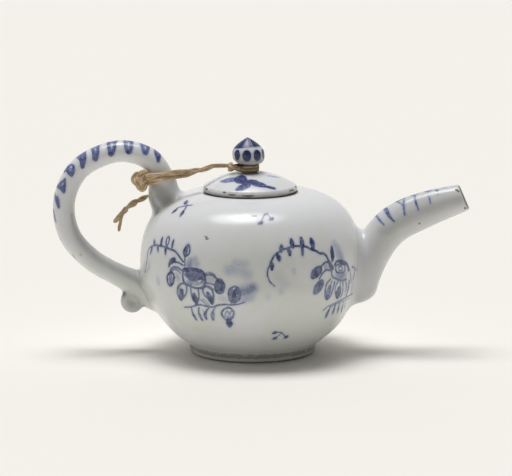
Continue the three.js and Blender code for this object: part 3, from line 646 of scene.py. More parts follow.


# Painting
# A stroke holds its strength, half its width spread evenly along it, and the places it passes. On the pot these
# are pixels read off the photo. Elsewhere half a width is in millimetres, and a place is the share along
# the handle or the spout and the angle round it, or the turn on the lid, from its front, and the radius.
painting = {
    "bolder": 1.15, "blot": 0.05, "washWider": 1.7, "pixelsInMm": 3.75,
    "sprays": [
        (0.8, (0.5, 0.8, 0.8), [(145.5, 272), (147.2, 259.5), (148.4, 250.7), (151.5, 246.8),
            (154.5, 245.2), (162, 246.1), (165.7, 247.3), (170.1, 249.1), (174.9, 251.1), (178.1, 254.7),
            (180.9, 258.7), (183.2, 261.8)]),
        (0.85, (0.9, 1.5, 0.9), [(152.6, 247.2), (151.6, 250.3), (150.5, 253.4)]),
        (0.9, (0.8, 1.7, 1.2), [(154.2, 240.3), (154.8, 243), (154.8, 245.2)]),
        (0.8, (1.2, 1.6, 0.8), [(157.8, 246), (158.2, 248.6), (158.3, 251.4)]),
        (0.9, (0.7, 1.6, 1.4), [(162.6, 237.6), (161.6, 241.6), (161.2, 245.4)]),
        (0.85, (1.3, 1.5, 0.6), [(165.6, 247), (165.8, 250.5), (165.7, 254.4)]),
        (0.8, (0.75,), [(167.1, 246.3), (166.2, 242.5), (167.2, 238.2), (168.9, 237), (169.4, 239.8),
            (168.3, 244), (167.1, 246.3)]),
        (0.85, (0.6, 1.3, 0.9), [(173.6, 240.2), (172.8, 243.6), (172.1, 247.7)]),
        (0.35, (0.5,), [(144.6, 262.5), (144.2, 270), (146.3, 272.4)]),
        (0.3, (0.5,), [(148.9, 262), (149.6, 266), (147.6, 271)]),
        (0.85, (0.75,), [(184.6, 256), (183.7, 251.8), (185.4, 247.6), (188.2, 244.6), (189.6, 247.6),
            (189.3, 252.6), (187, 255.6), (184.6, 256)]),
        (0.75, (1.2, 1.7, 0.6), [(185.7, 254.2), (186.2, 250.6), (187.6, 246.8)]),
        (0.75, (0.6,), [(184.8, 256), (184.9, 261), (184.9, 266)]),
        (0.9, (2.1, 2.4, 1.5, 0.7), [(174.2, 259.7), (171.6, 261.4), (169.7, 263.9), (169, 266.6)]),
        (0.7, (0.8,), [(174.6, 262.2), (178, 262.4), (182.8, 265.3)]),
        (0.75, (0.9,), [(169.7, 273), (171.3, 268.7), (176.5, 267.2), (182, 270.6)]),
        (0.6, (0.6,), [(171.9, 270.9), (175.8, 269.3), (180.6, 273.2)]),
        (0.45, (0.5,), [(175.2, 277.8), (177.8, 276.1), (178.6, 279)]),
        (0.9, (0.9,), [(170.4, 271.7), (167.4, 276.6), (168, 282.8), (170.6, 285.6), (173.6, 281.4),
            (173.8, 275), (170.4, 271.7)]),
        (0.62, (1, 2.4, 1), [(170.7, 273.4), (170.7, 278.8), (170.6, 284)]),
        (0.7, (0.8,), [(182.9, 283), (178.3, 286.3), (177.6, 293.4), (180.2, 299.4), (183.4, 297.6),
            (186.7, 291), (186.4, 285.2), (182.9, 283)]),
        (0.85, (1.6, 2.4, 1.1), [(182.2, 290.4), (181.4, 295.2), (181, 299.8)]),
        (0.35, (1.6,), [(179.7, 286.6), (179.4, 291.4)]),
        (0.65, (0.7,), [(191, 285.2), (190.9, 291), (192.6, 299), (196.4, 304.4)]),
        (0.65, (0.7,), [(198, 288.4), (198.9, 295), (198.4, 300.2), (196.6, 304.6)]),
        (0.85, (1.2, 3.1, 1.1), [(193.9, 293.8), (195.1, 299), (196.4, 304)]),
        (0.72, (0.8,), [(206, 285.8), (202.7, 289.4), (204, 294.2), (208.6, 299.6), (212.2, 304.2),
            (213.5, 297.4), (212, 290.2), (206, 285.8)]),
        (0.85, (1.2, 2.4, 2.2, 1), [(207.5, 293), (209.2, 296.6), (211, 300.4), (212.1, 303.6)]),
        (0.88, (3.6, 4.9, 4.4, 1.2), [(219.3, 282.6), (219.7, 285.6), (219.5, 288.6), (218.8, 292.6)]),
        (0.7, (0.9,), [(205.3, 275.3), (211.6, 275), (216.8, 278.8)]),
        (0.5, (0.6,), [(205.6, 273.2), (210.4, 272.6), (215, 275.4)]),
        (0.6, (0.8,), [(205.2, 282.8), (211.6, 284), (215, 285.4)]),
        (0.5, (0.5,), [(205.6, 285.2), (210.6, 286.9), (213.6, 289.6)]),
        (0.9, (1.9, 1.5, 1.9, 2.2), [(184.4, 269.9), (190.8, 269.3), (197.2, 270.3), (202.2, 273.4),
            (203.7, 278)]),
        (0.8, (1.3, 3, 3.1, 2.4, 1.2), [(185.6, 274.6), (190.6, 276.2), (196, 277.2), (200.8, 277.4),
            (203.6, 279.4)]),
        (0.55, (1.8,), [(187, 271.8), (193, 272.8), (199, 274.2)]),
        (0.75, (0.9,), [(184, 268.6), (182.7, 274.7), (183.9, 281.4), (189.2, 285.6), (197.2, 288.3),
            (202.8, 286.8), (205.4, 281.4), (204, 275.4)]),
        (0.4, (1.3,), [(187.4, 281.2), (192.4, 283.4), (198.4, 284), (202.2, 282)]),
        (0.3, (2,), [(190, 280.5), (196, 281.5)]),
        (0.7, (0.6, 0.8, 0.9, 0.8, 0.5), [(184.4, 307.4), (190.8, 307), (197.2, 305.1), (201.2, 305),
            (206.8, 306.6), (213.1, 307), (217.9, 305.4), (224.3, 304.6), (230.7, 305), (238.7, 304.2),
            (245, 302.3)]),
        (0.6, (0.5,), [(199.6, 299.4), (203.4, 302), (207.6, 306)]),
        (0.5, (0.5,), [(202.6, 299), (206.6, 302), (209.6, 305.8)]),
        (0.75, (0.5, 0.7, 1.5, 1), [(191.5, 307.6), (192.1, 311.6), (194.1, 316), (196.2, 319.7)]),
        (0.75, (0.5, 0.7, 1.5, 1), [(198.9, 307.6), (198.7, 312.4), (200.2, 316.4), (202.2, 320)]),
        (0.75, (0.5, 0.7, 1.6, 1), [(208.8, 308), (206.2, 311.4), (205, 315), (206.3, 318.9)]),
        (0.5, (0.5,), [(202.8, 310.6), (204.6, 312.8)]),
        (0.6, (0.5, 0.8, 2, 1), [(215.6, 307.4), (213.2, 311), (212.6, 315.4), (212.9, 319.8)]),
        (0.7, (0.8,), [(228.2, 307.6), (223.4, 310), (221.6, 314), (224.4, 318.6), (228.4, 320.6),
            (232.6, 317.4), (233.6, 312.4), (230.6, 308.6), (228.2, 307.6)]),
        (0.5, (0.7,), [(225, 314.6), (227.4, 311), (229.4, 314.8), (231, 311.4)]),
        (0.45, (1.6,), [(226, 316.6), (230, 317)]),
        (0.88, (1.5, 3.1, 1.6), [(228.4, 319.8), (229.3, 322.8), (229.5, 326)]),
        (0.75, (0.8,), [(234.4, 286.6), (229.6, 289.4), (228.6, 295), (230.4, 301), (235.4, 302.6),
            (239.6, 298.6), (240, 291.4), (237.6, 287.4), (234.4, 286.6)]),
        (0.88, (1.2, 2.4, 1.4, 2.2, 1.2), [(236.8, 288.4), (236.2, 291), (234.4, 294.4), (234.2, 298.2),
            (235.4, 301.4)]),
        (0.7, (0.9,), [(231.8, 289.8), (231, 295), (232.4, 300.6)]),
        (0.7, (0.8,), [(238.2, 290.4), (238, 296), (236.8, 300.8)]),
        (0.4, (0.5,), [(231, 302), (231, 305)]),
        (0.3, (0.8,), [(228.8, 267.2), (231, 265.7), (233, 267.7), (231.3, 270.1), (228.8, 267.2)]),
        (0.25, (0.9,), [(236.6, 264.8), (243.6, 265.4)]),
        (0.25, (0.9,), [(239.4, 271.8), (247.6, 272.6)]),
        (0.22, (0.8,), [(226, 269.6), (227.6, 272.6)]),
        (0.3, (0.8,), [(243, 288.4), (246.2, 286), (249, 289.6), (246.6, 293.2), (243.4, 291.6)]),
        (0.3, (0.8,), [(248, 295.4), (252.6, 291.6), (254, 286)]),
        (0.82, (0.5, 0.8, 1, 0.9), [(274.6, 286.2), (269.9, 281.6), (267.5, 275.6), (267.8, 270.4),
            (269.7, 265.6), (272.2, 259.5), (274.8, 255.1), (279.2, 251.9), (284.3, 249), (288, 248.3),
            (291.7, 246.5), (296.8, 245.9), (301.9, 246.3), (306.3, 246.7), (310.7, 249.1),
            (315.9, 250.9), (319.5, 253.2), (323.2, 253.6), (326.1, 255.8), (328.3, 260.2),
            (331.3, 264.6), (333.5, 268.3)]),
        (0.88, (1, 2, 1.1), [(271, 261.8), (271.8, 265.6), (272, 269.4)]),
        (0.88, (1.3, 2.1, 1.2), [(277.2, 255), (278.8, 257.6), (279.2, 260)]),
        (0.8, (1.2, 2, 1.5), [(281.6, 245.6), (281.5, 248.4), (280.8, 251)]),
        (0.85, (1, 1.9, 1), [(288.2, 247.8), (289.4, 251.4), (289.9, 255)]),
        (0.88, (1.1, 2.1, 1.7), [(291.2, 239.4), (292, 243), (292.6, 246.6)]),
        (0.9, (1.2, 2.1, 1.9), [(301.1, 238), (302, 242), (302.4, 246)]),
        (0.82, (1.3, 1.4, 0.8), [(301.9, 247), (302.5, 251), (302.6, 255.4)]),
        (0.92, (1.4, 2.6, 1.8, 0.8), [(311.3, 239.2), (312.2, 242.8), (312.8, 246.6), (312.4, 250.2)]),
        (0.95, (1, 2.1, 2.2, 1.2), [(331.7, 246.8), (332, 251.4), (332.5, 256.4), (332.3, 260.6)]),
        (0.8, (0.8,), [(320.4, 267.2), (323.2, 264.4), (326.5, 261.9), (329.1, 263.9), (332.4, 268.6)]),
        (0.72, (0.8,), [(319.5, 278.6), (321.2, 275.4), (323.3, 272.4), (326.1, 270.1), (330.9, 270.5)]),
        (0.5, (0.5,), [(326.4, 264.8), (324.6, 267.4), (326.4, 270)]),
        (0.6, (1,), [(329.3, 265.4), (331.4, 270.4)]),
        (0.6, (0.9,), [(332.7, 268.3), (331.6, 271.9), (332, 275.8), (335.7, 278.6), (341.5, 280.2),
            (346, 279.4)]),
        (0.86, (2.6, 4.2, 4.4, 2.6), [(319.9, 268.6), (317.6, 271.2), (315, 273.8), (313.2, 276.2)]),
        (0.74, (2.4, 4, 4.1, 2.4), [(321.6, 282), (319.4, 285.6), (317.2, 289), (315.4, 292)]),
        (0.5, (0.8,), [(323.2, 283.6), (321, 289), (317.4, 293.2)]),
        (0.7, (0.8,), [(330.2, 279.4), (326.4, 284.4), (325.2, 290), (325.2, 296.6), (327.6, 299.2),
            (331, 294.6), (333.2, 287.6), (334.4, 282)]),
        (0.62, (2, 3, 2), [(329.6, 287), (328.4, 291.6), (327.4, 296.6)]),
        (0.5, (0.7,), [(331.6, 281.4), (329.8, 287)]),
        (0.82, (1.5,), [(327, 296.6), (328.6, 297.6)]),
        (0.78, (2.2, 3.8, 3.4, 1.8), [(338.8, 288.6), (338.4, 291.6), (338.2, 294.6), (338, 297.2)]),
        (0.6, (0.7,), [(337.9, 281.5), (335.6, 286), (335, 292), (336.2, 297.2)]),
        (0.6, (0.7,), [(342.5, 281), (342.7, 286), (342.4, 292), (340.6, 297)]),
        (0.45, (0.7,), [(340.2, 280.6), (340, 287)]),
        (0.75, (0.8,), [(340.2, 263.6), (335.8, 266.4), (336, 271), (340.4, 273), (344.6, 270.4),
            (344.6, 265.8), (340.2, 263.6)]),
        (0.55, (0.8,), [(338.4, 266.6), (341.4, 266.4), (342.2, 269.4), (339, 270.2), (338.4, 266.6)]),
        (0.85, (0.9, 1.5, 1.3), [(334.6, 265.2), (336.3, 261.9), (340, 260.9), (344.5, 262.5),
            (347.6, 266.2), (348.4, 270)]),
        (0.6, (0.7,), [(345.4, 281.5), (346.2, 286), (345.4, 291)]),
        (0.75, (0.8, 1.3, 0.8), [(349, 280.7), (348.2, 288), (346, 296.4)]),
        (0.5, (0.6,), [(347.8, 265.4), (349.8, 270.6), (350.4, 276.3), (350.6, 283)]),
        (0.5, (0.9,), [(352.2, 267), (354.4, 268.4), (354.2, 273.6), (353.2, 279.6)]),
        (0.6, (0.6, 1.3, 0.7), [(359, 270.8), (358, 277.4), (356.7, 284.4), (353.4, 294.6)]),
        (0.4, (0.6,), [(355.4, 269), (357.4, 270.4)]),
        (0.4, (0.7,), [(351.6, 286.6), (350.8, 291.4), (351.6, 295)]),
        (0.3, (0.8,), [(353.8, 283.6), (352.4, 289.6)]),
        (0.66, (0.5, 0.8, 0.6), [(323.4, 310.2), (327, 307), (331.3, 304.9), (337.1, 302), (343, 299),
            (349.6, 295.3), (354, 292.3)]),
        (0.5, (0.5,), [(330.5, 307), (337, 303.6), (343.4, 300.8), (350, 297.4)]),
        (0.8, (0.5, 0.9, 1.7, 1.4), [(330.5, 306.4), (329, 309.4), (327.2, 312.8), (325.8, 316.2)]),
        (0.75, (0.5, 0.9, 1.5, 0.8), [(335.2, 304), (334.4, 307.2), (333.2, 310.4), (332.4, 313.4)]),
        (0.75, (0.5, 0.8, 1.5, 0.8), [(339.3, 302.6), (338.8, 305.6), (337.9, 309), (337, 312.2)]),
        (0.68, (0.5, 0.8, 1.3, 0.8), [(343.2, 301.4), (342.6, 304.4), (341.6, 308), (340.7, 311.6)]),
        (0.4, (0.5,), [(346, 299.6), (344.6, 303.4), (343.8, 307.4)]),
    ],
    "sprigs": [
        (0.9, (1, 1.9, 1.1), [(186.6, 200.6), (186, 202.4), (185.6, 204.2)]),
        (0.9, (0.9, 2, 1), [(172.8, 212.6), (174.7, 211), (176.8, 209.2)]),
        (0.9, (0.9, 1.9, 1.1), [(180.6, 216), (182, 213.6), (183.4, 211)]),
        (0.75, (0.7,), [(176.8, 208.3), (182, 206.6), (186.6, 205.8), (191.7, 205)]),
        (0.75, (0.7,), [(187.4, 204.6), (185.6, 208), (183.5, 211.5)]),
        (0.85, (0.9, 1.7, 0.9), [(258.7, 223.6), (260.3, 223.1), (262.4, 221.8)]),
        (0.85, (0.9, 1.7, 0.9), [(269.9, 219.6), (271.4, 219.1), (272.6, 218)]),
        (0.5, (0.6,), [(260.8, 221.8), (266, 213.6), (270.6, 218)]),
        (0.3, (1.2,), [(264.6, 214.8), (267.4, 213.6)]),
        (0.55, (0.55,), [(251.8, 216), (256.2, 215.9)]),
        (0.9, (1, 1.8, 0.9), [(273.4, 333.4), (274.8, 332.6), (276.4, 332.2)]),
        (0.9, (1, 1.8, 0.9), [(273.6, 338.8), (274.8, 338.2), (276, 337.2)]),
        (0.9, (1, 1.8, 0.9), [(284.8, 337.6), (286.1, 336.9), (287.2, 335.6)]),
        (0.7, (0.6,), [(275.4, 332.6), (278.6, 332.2), (281.8, 332.8), (285.4, 336.6)]),
        (0.6, (0.5,), [(275.6, 337.6), (279, 335), (281.8, 332.8)]),
    ],
    "washes": [
        (0.57, (4.5, 3.5), [(188.6, 266.4), (190, 261.4)]),
        (0.41, (3,), [(194.5, 259.5), (196.5, 264)]),
        (0.57, (6, 6.5, 5), [(242, 292.6), (247.6, 291), (252.6, 288.4)]),
        (0.43, (4.5,), [(242, 299.6), (250, 297)]),
        (0.3, (5,), [(229, 270), (240, 271), (247, 275)]),
        (0.27, (4,), [(236, 263.5), (245, 264.5)]),
        (0.3, (3.2,), [(176.5, 274.5), (178, 279)]),
        (0.34, (4,), [(208.4, 279.6), (213.6, 280.4)]),
        (0.22, (3,), [(221, 298.4), (228, 300.4)]),
        (0.22, (2.4,), [(158, 279), (158.6, 283)]),
        (0.41, (5, 4), [(338, 253), (341.6, 259)]),
        (0.3, (4,), [(334.5, 245), (338, 249)]),
        (0.49, (5,), [(338.4, 276), (343.2, 275.4)]),
        (0.38, (2.2,), [(327.3, 267.4), (328, 268.8)]),
        (0.27, (1.6,), [(293.8, 269.8), (294.4, 272.6)]),
        (0.19, (2.6,), [(280.7, 290.4), (281.4, 292.6)]),
        (0.16, (2.2,), [(268, 295.6), (268.6, 298)]),
        (0.27, (4,), [(347, 285), (346, 292)]),
        (0.27, (3,), [(352, 278), (352, 288)]),
        (0.14, (5,), [(278, 276), (284, 284)]),
    ],
    "specks": [
        (0.95, (0.9, 1.3, 0.7), [(205.4, 236.8), (206.6, 237.9), (207.8, 239)]),
        (0.3, (0.9,), [(193.8, 225.2), (194.4, 225.8)]),
        (0.35, (0.8,), [(146.8, 257.6), (147.2, 258.6)]),
        (0.3, (0.8,), [(294.8, 221.4), (295.2, 222)]),
        (0.28, (1.1,), [(220.6, 243), (221.4, 243.6)]),
    ],
    "lid": [
        (0.62, (0.5, 1.15, 1.1), [(-57, 8.9), (-47, 8.1), (-36, 7.4)]),
        (1, (0.45, 1.35, 1.45, 0.8), [(-27, 4.9), (-24, 6.2), (-17, 7.6), (-8, 8)]),
        (0.98, (0.35, 1.05, 1, 0.4), [(-17.5, 11.5), (-12, 10.7), (-5, 9.6), (0, 8.6)]),
        (1, (0.6, 0.7, 0.6), [(-6, 8.1), (3, 7.7), (10, 7.9)]),
        (1, (0.4, 1.1, 1, 0.5), [(3, 8.5), (11, 9), (18, 9.6), (24, 10.3)]),
        (0.94, (0.35, 0.5, 0.5), [(23, 10.2), (29, 10.8), (34, 11.3)]),
        (0.44, (0.3, 0.5, 0.25), [(57, 5.8), (69, 6.8), (79, 8)]),
    ],
    "lidChips": [
        (1, (0.25, 0.2), [(-69, 12.75), (-65, 12.8)]),
        (1, (0.22, 0.16), [(-34, 12.7), (-31, 12.75)]),
        (0.8, (0.1, 0.2, 0.14), [(-27, 12.95), (-22, 13), (-18, 13)]),
        (0.9, (0.1, 0.22, 0.12), [(-9, 13.05), (-2, 13.1), (5, 13.05)]),
        (0.8, (0.1, 0.2, 0.12), [(57, 12.9), (62, 12.85), (68, 12.95)]),
        (1, (0.2, 0.24), [(79, 12.6), (83, 12.8)]),
        (0.9, (0.2, 0.3), [(118, 12.8), (124, 12.9)]),
        (0.9, (0.2, 0.25), [(162, 12.8), (171, 12.9)]),
        (0.9, (0.22,), [(-140, 12.7), (-134, 12.9)]),
    ],
    "spout": [
        (0.6, (0.3, 0.18, 0.25, 0.15), [(0.436, 7), (0.452, -18), (0.494, -39), (0.545, -57)]),
        (0.29, (0.18,), [(0.44, 17), (0.43, -12)]),
        (0.71, (0.21, 0.48, 0.36, 0.15), [(0.575, 4), (0.596, -25), (0.62, -49), (0.66, -71)]),
        (0.58, (0.21,), [(0.566, 10), (0.592, -7), (0.604, -18)]),
        (0.65, (0.18, 0.23, 0.18), [(0.69, 2), (0.72, -7), (0.756, 2)]),
        (0.6, (0.17,), [(0.695, 0), (0.72, -20), (0.737, -39)]),
        (0.62, (0.17, 0.27, 0.18), [(0.752, -5), (0.744, -39), (0.742, -72)]),
        (0.62, (0.18, 0.31, 0.18), [(0.786, -5), (0.805, -10), (0.822, -5)]),
        (0.65, (0.16, 0.24, 0.16), [(0.806, -15), (0.805, -47), (0.81, -74)]),
        (0.58, (0.18, 0.3, 0.18), [(0.855, -7), (0.871, -13), (0.886, -7)]),
        (0.55, (0.12, 0.22, 0.18), [(0.87, -39), (0.869, -52), (0.868, -67)]),
        (0.71, (0.22, 0.28), [(0.903, -15), (0.908, -24)]),
        (0.25, (0.18,), [(0.904, -40), (0.905, -45)]),
        (0.41, (0.15, 0.21), [(0.93, -8), (0.943, -12)]),
    ],
    "spoutSpecks": [
        (1, (0.16, 0.2), [(0.803, -115), (0.806, -119)]),
        (1, (0.3,), [(0.981, -40), (0.985, -50)]),
        (1, (0.25,), [(0.984, -128), (0.986, -134)]),
    ],
    "spoutShades": [
        (0.17, (1, 1.3, 1.3, 1.1), [(0.5, 62), (0.66, 84), (0.82, 88), (0.975, 86)]),
    ],
    "dashes": [
        (0.75, (0.3, 0.28, 0.3), [(0.205, 3), (0.205, -23), (0.197, -44), (0.19, -53)]),
        (0.85, (0.3, 0.36, 0.36), [(0.197, 3), (0.192, -26), (0.19, -37), (0.186, -57)]),
        (0.3, (0.5, 0.4), [(0.2, 3), (0.199, -15), (0.191, -44)]),
        (0.7, (0.3, 0.28, 0.34), [(0.246, 3), (0.244, -10), (0.236, -49), (0.227, -66)]),
        (0.75, (0.3, 0.28, 0.34), [(0.225, 3), (0.223, -20), (0.222, -38), (0.222, -64)]),
        (0.34, (0.6, 0.55), [(0.235, 3), (0.232, -25), (0.227, -58)]),
        (0.72, (0.3, 0.3, 0.34), [(0.288, 3), (0.287, -17), (0.284, -57), (0.278, -84)]),
        (0.75, (0.3, 0.3, 0.36), [(0.27, 3), (0.269, -12), (0.267, -55), (0.268, -82)]),
        (0.8, (0.3, 0.4, 0.3), [(0.279, -82), (0.273, -86), (0.267, -79)]),
        (0.26, (0.6, 0.6), [(0.281, 3), (0.278, -35), (0.274, -78)]),
        (0.75, (0.32, 0.3, 0.36), [(0.33, 3), (0.33, -7), (0.331, -57), (0.332, -86)]),
        (0.78, (0.3, 0.3, 0.36), [(0.308, 3), (0.31, -13), (0.314, -60), (0.323, -90)]),
        (0.8, (0.3, 0.45, 0.3), [(0.332, -84), (0.329, -92), (0.322, -88)]),
        (0.3, (0.65, 0.65), [(0.318, 3), (0.321, -30), (0.326, -82)]),
        (0.72, (0.3, 0.3, 0.36), [(0.378, 3), (0.378, -49), (0.383, -81)]),
        (0.74, (0.3, 0.3, 0.36), [(0.356, 3), (0.358, -15), (0.365, -60), (0.376, -87)]),
        (0.78, (0.36, 0.4), [(0.382, -82), (0.38, -90)]),
        (0.4, (0.6, 0.5), [(0.367, 3), (0.369, -15), (0.377, -77)]),
        (0.74, (0.3, 0.36, 0.36), [(0.425, 3), (0.424, -13), (0.42, -54), (0.427, -83)]),
        (0.76, (0.3, 0.34, 0.4), [(0.4, 3), (0.402, -26), (0.408, -60), (0.425, -86)]),
        (0.7, (0.28, 0.3), [(0.424, -4), (0.422, -11), (0.403, -28)]),
        (0.5, (0.5, 0.5, 0.4), [(0.412, 3), (0.413, -28), (0.415, -59), (0.427, -88)]),
        (0.72, (0.3, 0.32, 0.3), [(0.467, 0), (0.467, -25), (0.457, -26), (0.446, -42)]),
        (0.75, (0.3, 0.36, 0.4), [(0.446, -52), (0.455, -69), (0.468, -74)]),
        (0.72, (0.3, 0.32, 0.4), [(0.461, 2), (0.466, -32), (0.468, -56), (0.468, -73)]),
        (0.46, (0.7, 0.7), [(0.462, 3), (0.462, -33), (0.461, -67)]),
        (0.7, (0.3, 0.34, 0.3), [(0.52, 0), (0.516, -29), (0.505, -40), (0.493, -55)]),
        (0.75, (0.3, 0.36, 0.4), [(0.49, -54), (0.506, -69), (0.524, -76)]),
        (0.72, (0.32, 0.36, 0.4), [(0.519, 2), (0.519, -30), (0.518, -54), (0.523, -73)]),
        (0.46, (0.7, 0.6), [(0.513, -39), (0.515, -67)]),
        (0.72, (0.2, 0.36, 0.36, 0.2), [(0.536, 0), (0.546, -26), (0.555, -42), (0.566, -57),
            (0.575, -65)]),
        (0.6, (0.22, 0.3, 0.25), [(0.544, -46), (0.555, -60), (0.572, -67)]),
        (0.62, (0.18, 0.3, 0.32, 0.2), [(0.584, 0), (0.589, -25), (0.599, -29), (0.609, -33),
            (0.616, -36)]),
        (0.2, (0.18, 0.2), [(0.655, 0), (0.668, -26)]),
    ],
    "handleShadesAndStains": [
        (0.26, (0.5, 0.75, 0.8, 0.7), [(0.6, 138), (0.75, 128), (0.88, 122), (0.95, 112)]),
        (0.24, (0.25, 0.3, 0.25), [(0.93, 108), (0.965, 86), (0.99, 62)]),
        (0.5, (0.2,), [(0.735, 80), (0.737, 84)]),
        (0.5, (0.2, 0.25), [(0.72, 44), (0.73, 36)]),
        (0.45, (1.6, 1.6), [(0, 60), (0.05, 84)]),
        (0.52, (1.5, 1.9, 1.6), [(0.06, 88), (0.084, 100), (0.115, 124)]),
        (0.6, (1.2, 1.6), [(0.04, 122), (0.09, 150)]),
    ],
    "curlShades": [(1, 0.55, (-34.3, 16.2)), (0.4, 2.2, (-32.1, 13.5)), (0.5, 0.6, (-28.9, 12.6))],
    "panelHeights": (53.7, 54.8),
    "panels": [(-126, 1), (-86, 0.9), (-46, 1), (-6, 1.15), (35, 1.1), (74, 1), (114, 1), (154, 1.1),
               (194, 1)],
    "capTurns": [-152, -108, -64, -18, 26, 70, 116, 162],
}


def climbTable():
    # the way along the pot's outline, 0 where it is widest
    steep = np.linspace(0, np.pi / 2, 3000)
    line = np.vstack([formAt(steep, 0, False)[::-1], formAt(steep)[1:]])
    run = np.concatenate([[0], np.cumsum(np.linalg.norm(np.diff(line, axis=0), axis=1))])
    return run - run[len(steep) - 1], line


climbRun, climbLine = climbTable()


def formPlace(spots):
    # from the turn in degrees from the front and the climb in millimetres to a point on the form, not swollen
    radius = np.interp(spots[..., 1], climbRun, climbLine[:, 0])
    height = np.interp(spots[..., 1], climbRun, climbLine[:, 1])
    turn = np.radians(spots[..., 0])
    return np.stack([radius * np.sin(turn), -radius * np.cos(turn), height], axis=-1)


def potPlace(spots, turned=0):
    # the same on the pot's real surface, turned about its axis
    return ontoBody(formPlace(spots + (turned, 0)))


def seenAt(pixels):
    # the turn and climb of the form that the camera sees at some pixels: the nearest of a net of places that
    # face the camera, then Newton's steps on the slopes of their pixels
    turns, climbs = np.arange(-84.0, 86.0, 2), np.arange(-20.0, 30.0)
    net = np.stack(np.meshgrid(turns, climbs, indexing="ij"), axis=-1)
    shown = inPhoto(formPlace(net))
    (xTurn, yTurn), (xClimb, yClimb) = (np.moveaxis(slope, -1, 0) for slope in np.gradient(shown, axis=(0, 1)))
    facing = xTurn * yClimb < yTurn * xClimb
    apart = np.linalg.norm(pixels[:, None] - shown[facing], axis=-1)
    spots, nudge = net[facing][apart.argmin(axis=1)], 0.01
    for _ in range(6):
        here = inPhoto(formPlace(spots))
        slopes = [(inPhoto(formPlace(spots + step)) - here) / nudge for step in nudge * np.eye(2)]
        spots = spots + np.linalg.solve(np.stack(slopes, axis=-1), (pixels - here)[..., None])[..., 0]
    return spots


def readOff(key):
    # strokes of the pot, from pixels to turns, climbs and millimetres
    return [(strong, np.array(halves) / painting["pixelsInMm"], seenAt(np.array(pixels, float)))
            for strong, halves, pixels in painting[key]]


def potStrokes(key="sprays"):
    # the sprays and sprigs of the front, and the same on the back, turned and drawn again with a freer hand
    random = np.random.default_rng(5)
    groups = readOff("sprays") + readOff("sprigs") if key == "sprays" else readOff(key)
    behind = lambda spots: potPlace(spots, 176)
    again = [(strong, halves, spots + random.normal(0, (0.4, 0.15), (len(spots), 2)), behind)
             for strong, halves, spots in groups]
    return [(*stroke, potPlace) for stroke in groups] + again


def nearStrokes(points, strokes):
    # for each stroke, the points close to it and how far inside its edge each lies, by its nearest place
    for strong, halves, spots, onto in strokes:
        rough = onto(smoothCurve(np.array(spots, float), np.linspace(0, 1, 12 * len(spots))))
        length = np.linalg.norm(np.diff(rough, axis=0), axis=1).sum()
        line = evenly(rough, max(2, int(length / 0.12)))
        half = np.interp(np.linspace(0, 1, len(line)), np.linspace(0, 1, len(halves)), halves)
        half = half * painting["bolder"] + painting["blot"]
        margin = half.max() + 0.9
        boxed = (points > line.min(axis=0) - margin) & (points < line.max(axis=0) + margin)
        near = np.nonzero(boxed.all(axis=1))[0]
        if len(near):
            distance = np.linalg.norm(points[near, None] - line, axis=-1)
            yield strong, near, (half - distance).max(axis=1), (distance / half).min(axis=1)


def strokeDepth(points, strokes):
    # how far inside the nearest stroke each point lies, below 0 outside it
    depth = np.full(points.reshape(-1, 3).shape[0], -9.0)
    for strong, near, inside, share in nearStrokes(points.reshape(-1, 3), strokes):
        depth[near] = np.maximum(depth[near], inside)
    return depth.reshape(points.shape[:-1])


def paintOn(points, strokes, washes=()):
    # cover is a half on a stroke's edge and whole inside it, strength that of the strongest stroke there, and
    # wash a soft patch: the square of one less the squared share of its half width
    flat = points.reshape(-1, 3)
    cover, strength, wash = (np.zeros(len(flat)) for _ in range(3))
    for strong, near, inside, share in nearStrokes(flat, strokes):
        cover[near] = np.maximum(cover[near], np.clip(0.5 + inside / 0.36, 0, 1))
        strength[near] = np.maximum(strength[near], strong * np.clip(1 + inside / 0.6, 0, 1))
    wider = [(strong, np.array(halves) * painting["washWider"], *rest) for strong, halves, *rest in washes]
    for strong, near, inside, share in nearStrokes(flat, wider):
        wash[near] = np.maximum(wash[near], strong * np.clip(1 - share**2, 0, 1) ** 2)
    return [part.reshape(points.shape[:-1]) for part in (cover, strength, wash)]


# Spout
spout = {
    "top": [(-5, 10.4), (0.2, 10.6), (2, 12.6), (3.7, 14.5), (5.9, 16.4), (9.6, 18.6), (16.9, 21.2),
            (26.2, 23.1)],
    "under": [(-5, -9.9), (0.4, -9.2), (3.3, -7.3), (5, -2.7), (7.4, 2.6), (11, 7.4), (19.1, 11.8),
              (29.2, 16.25)],
    "baseWidth": 16.4, "mouthWidth": 7.3, "taper": 1.4, "wall": 1.4, "fillet": 2.4, "rimAt": 0.985,
    "columns": 176, "rows": {"outer": 112, "rim": 9, "inner": 46, "fillet": 12},
}


def spoutSurface(share, angle, inset=0.0):
    # ovals between the top and the under outline, their angle 0 at the top, drawn in by the inset
    mm = lambda line: np.array([(30 + out, 0, 22.7 + up) for out, up in line])
    high, low = smoothCurve(mm(spout["top"]), share), smoothCurve(mm(spout["under"]), share)
    half = (high - low) / 2
    width = spout["mouthWidth"] + (spout["baseWidth"] - spout["mouthWidth"]) * (1 - share) ** spout["taper"]
    tall = np.linalg.norm(half, axis=-1, keepdims=True)
    upward = half / tall * (tall - np.asarray(inset)[..., None])
    wide = np.array([0, 1.0, 0]) * (width / 2 - inset)[..., None]
    return (high + low) / 2 + upward * np.cos(angle)[..., None] + wide * np.sin(angle)[..., None]


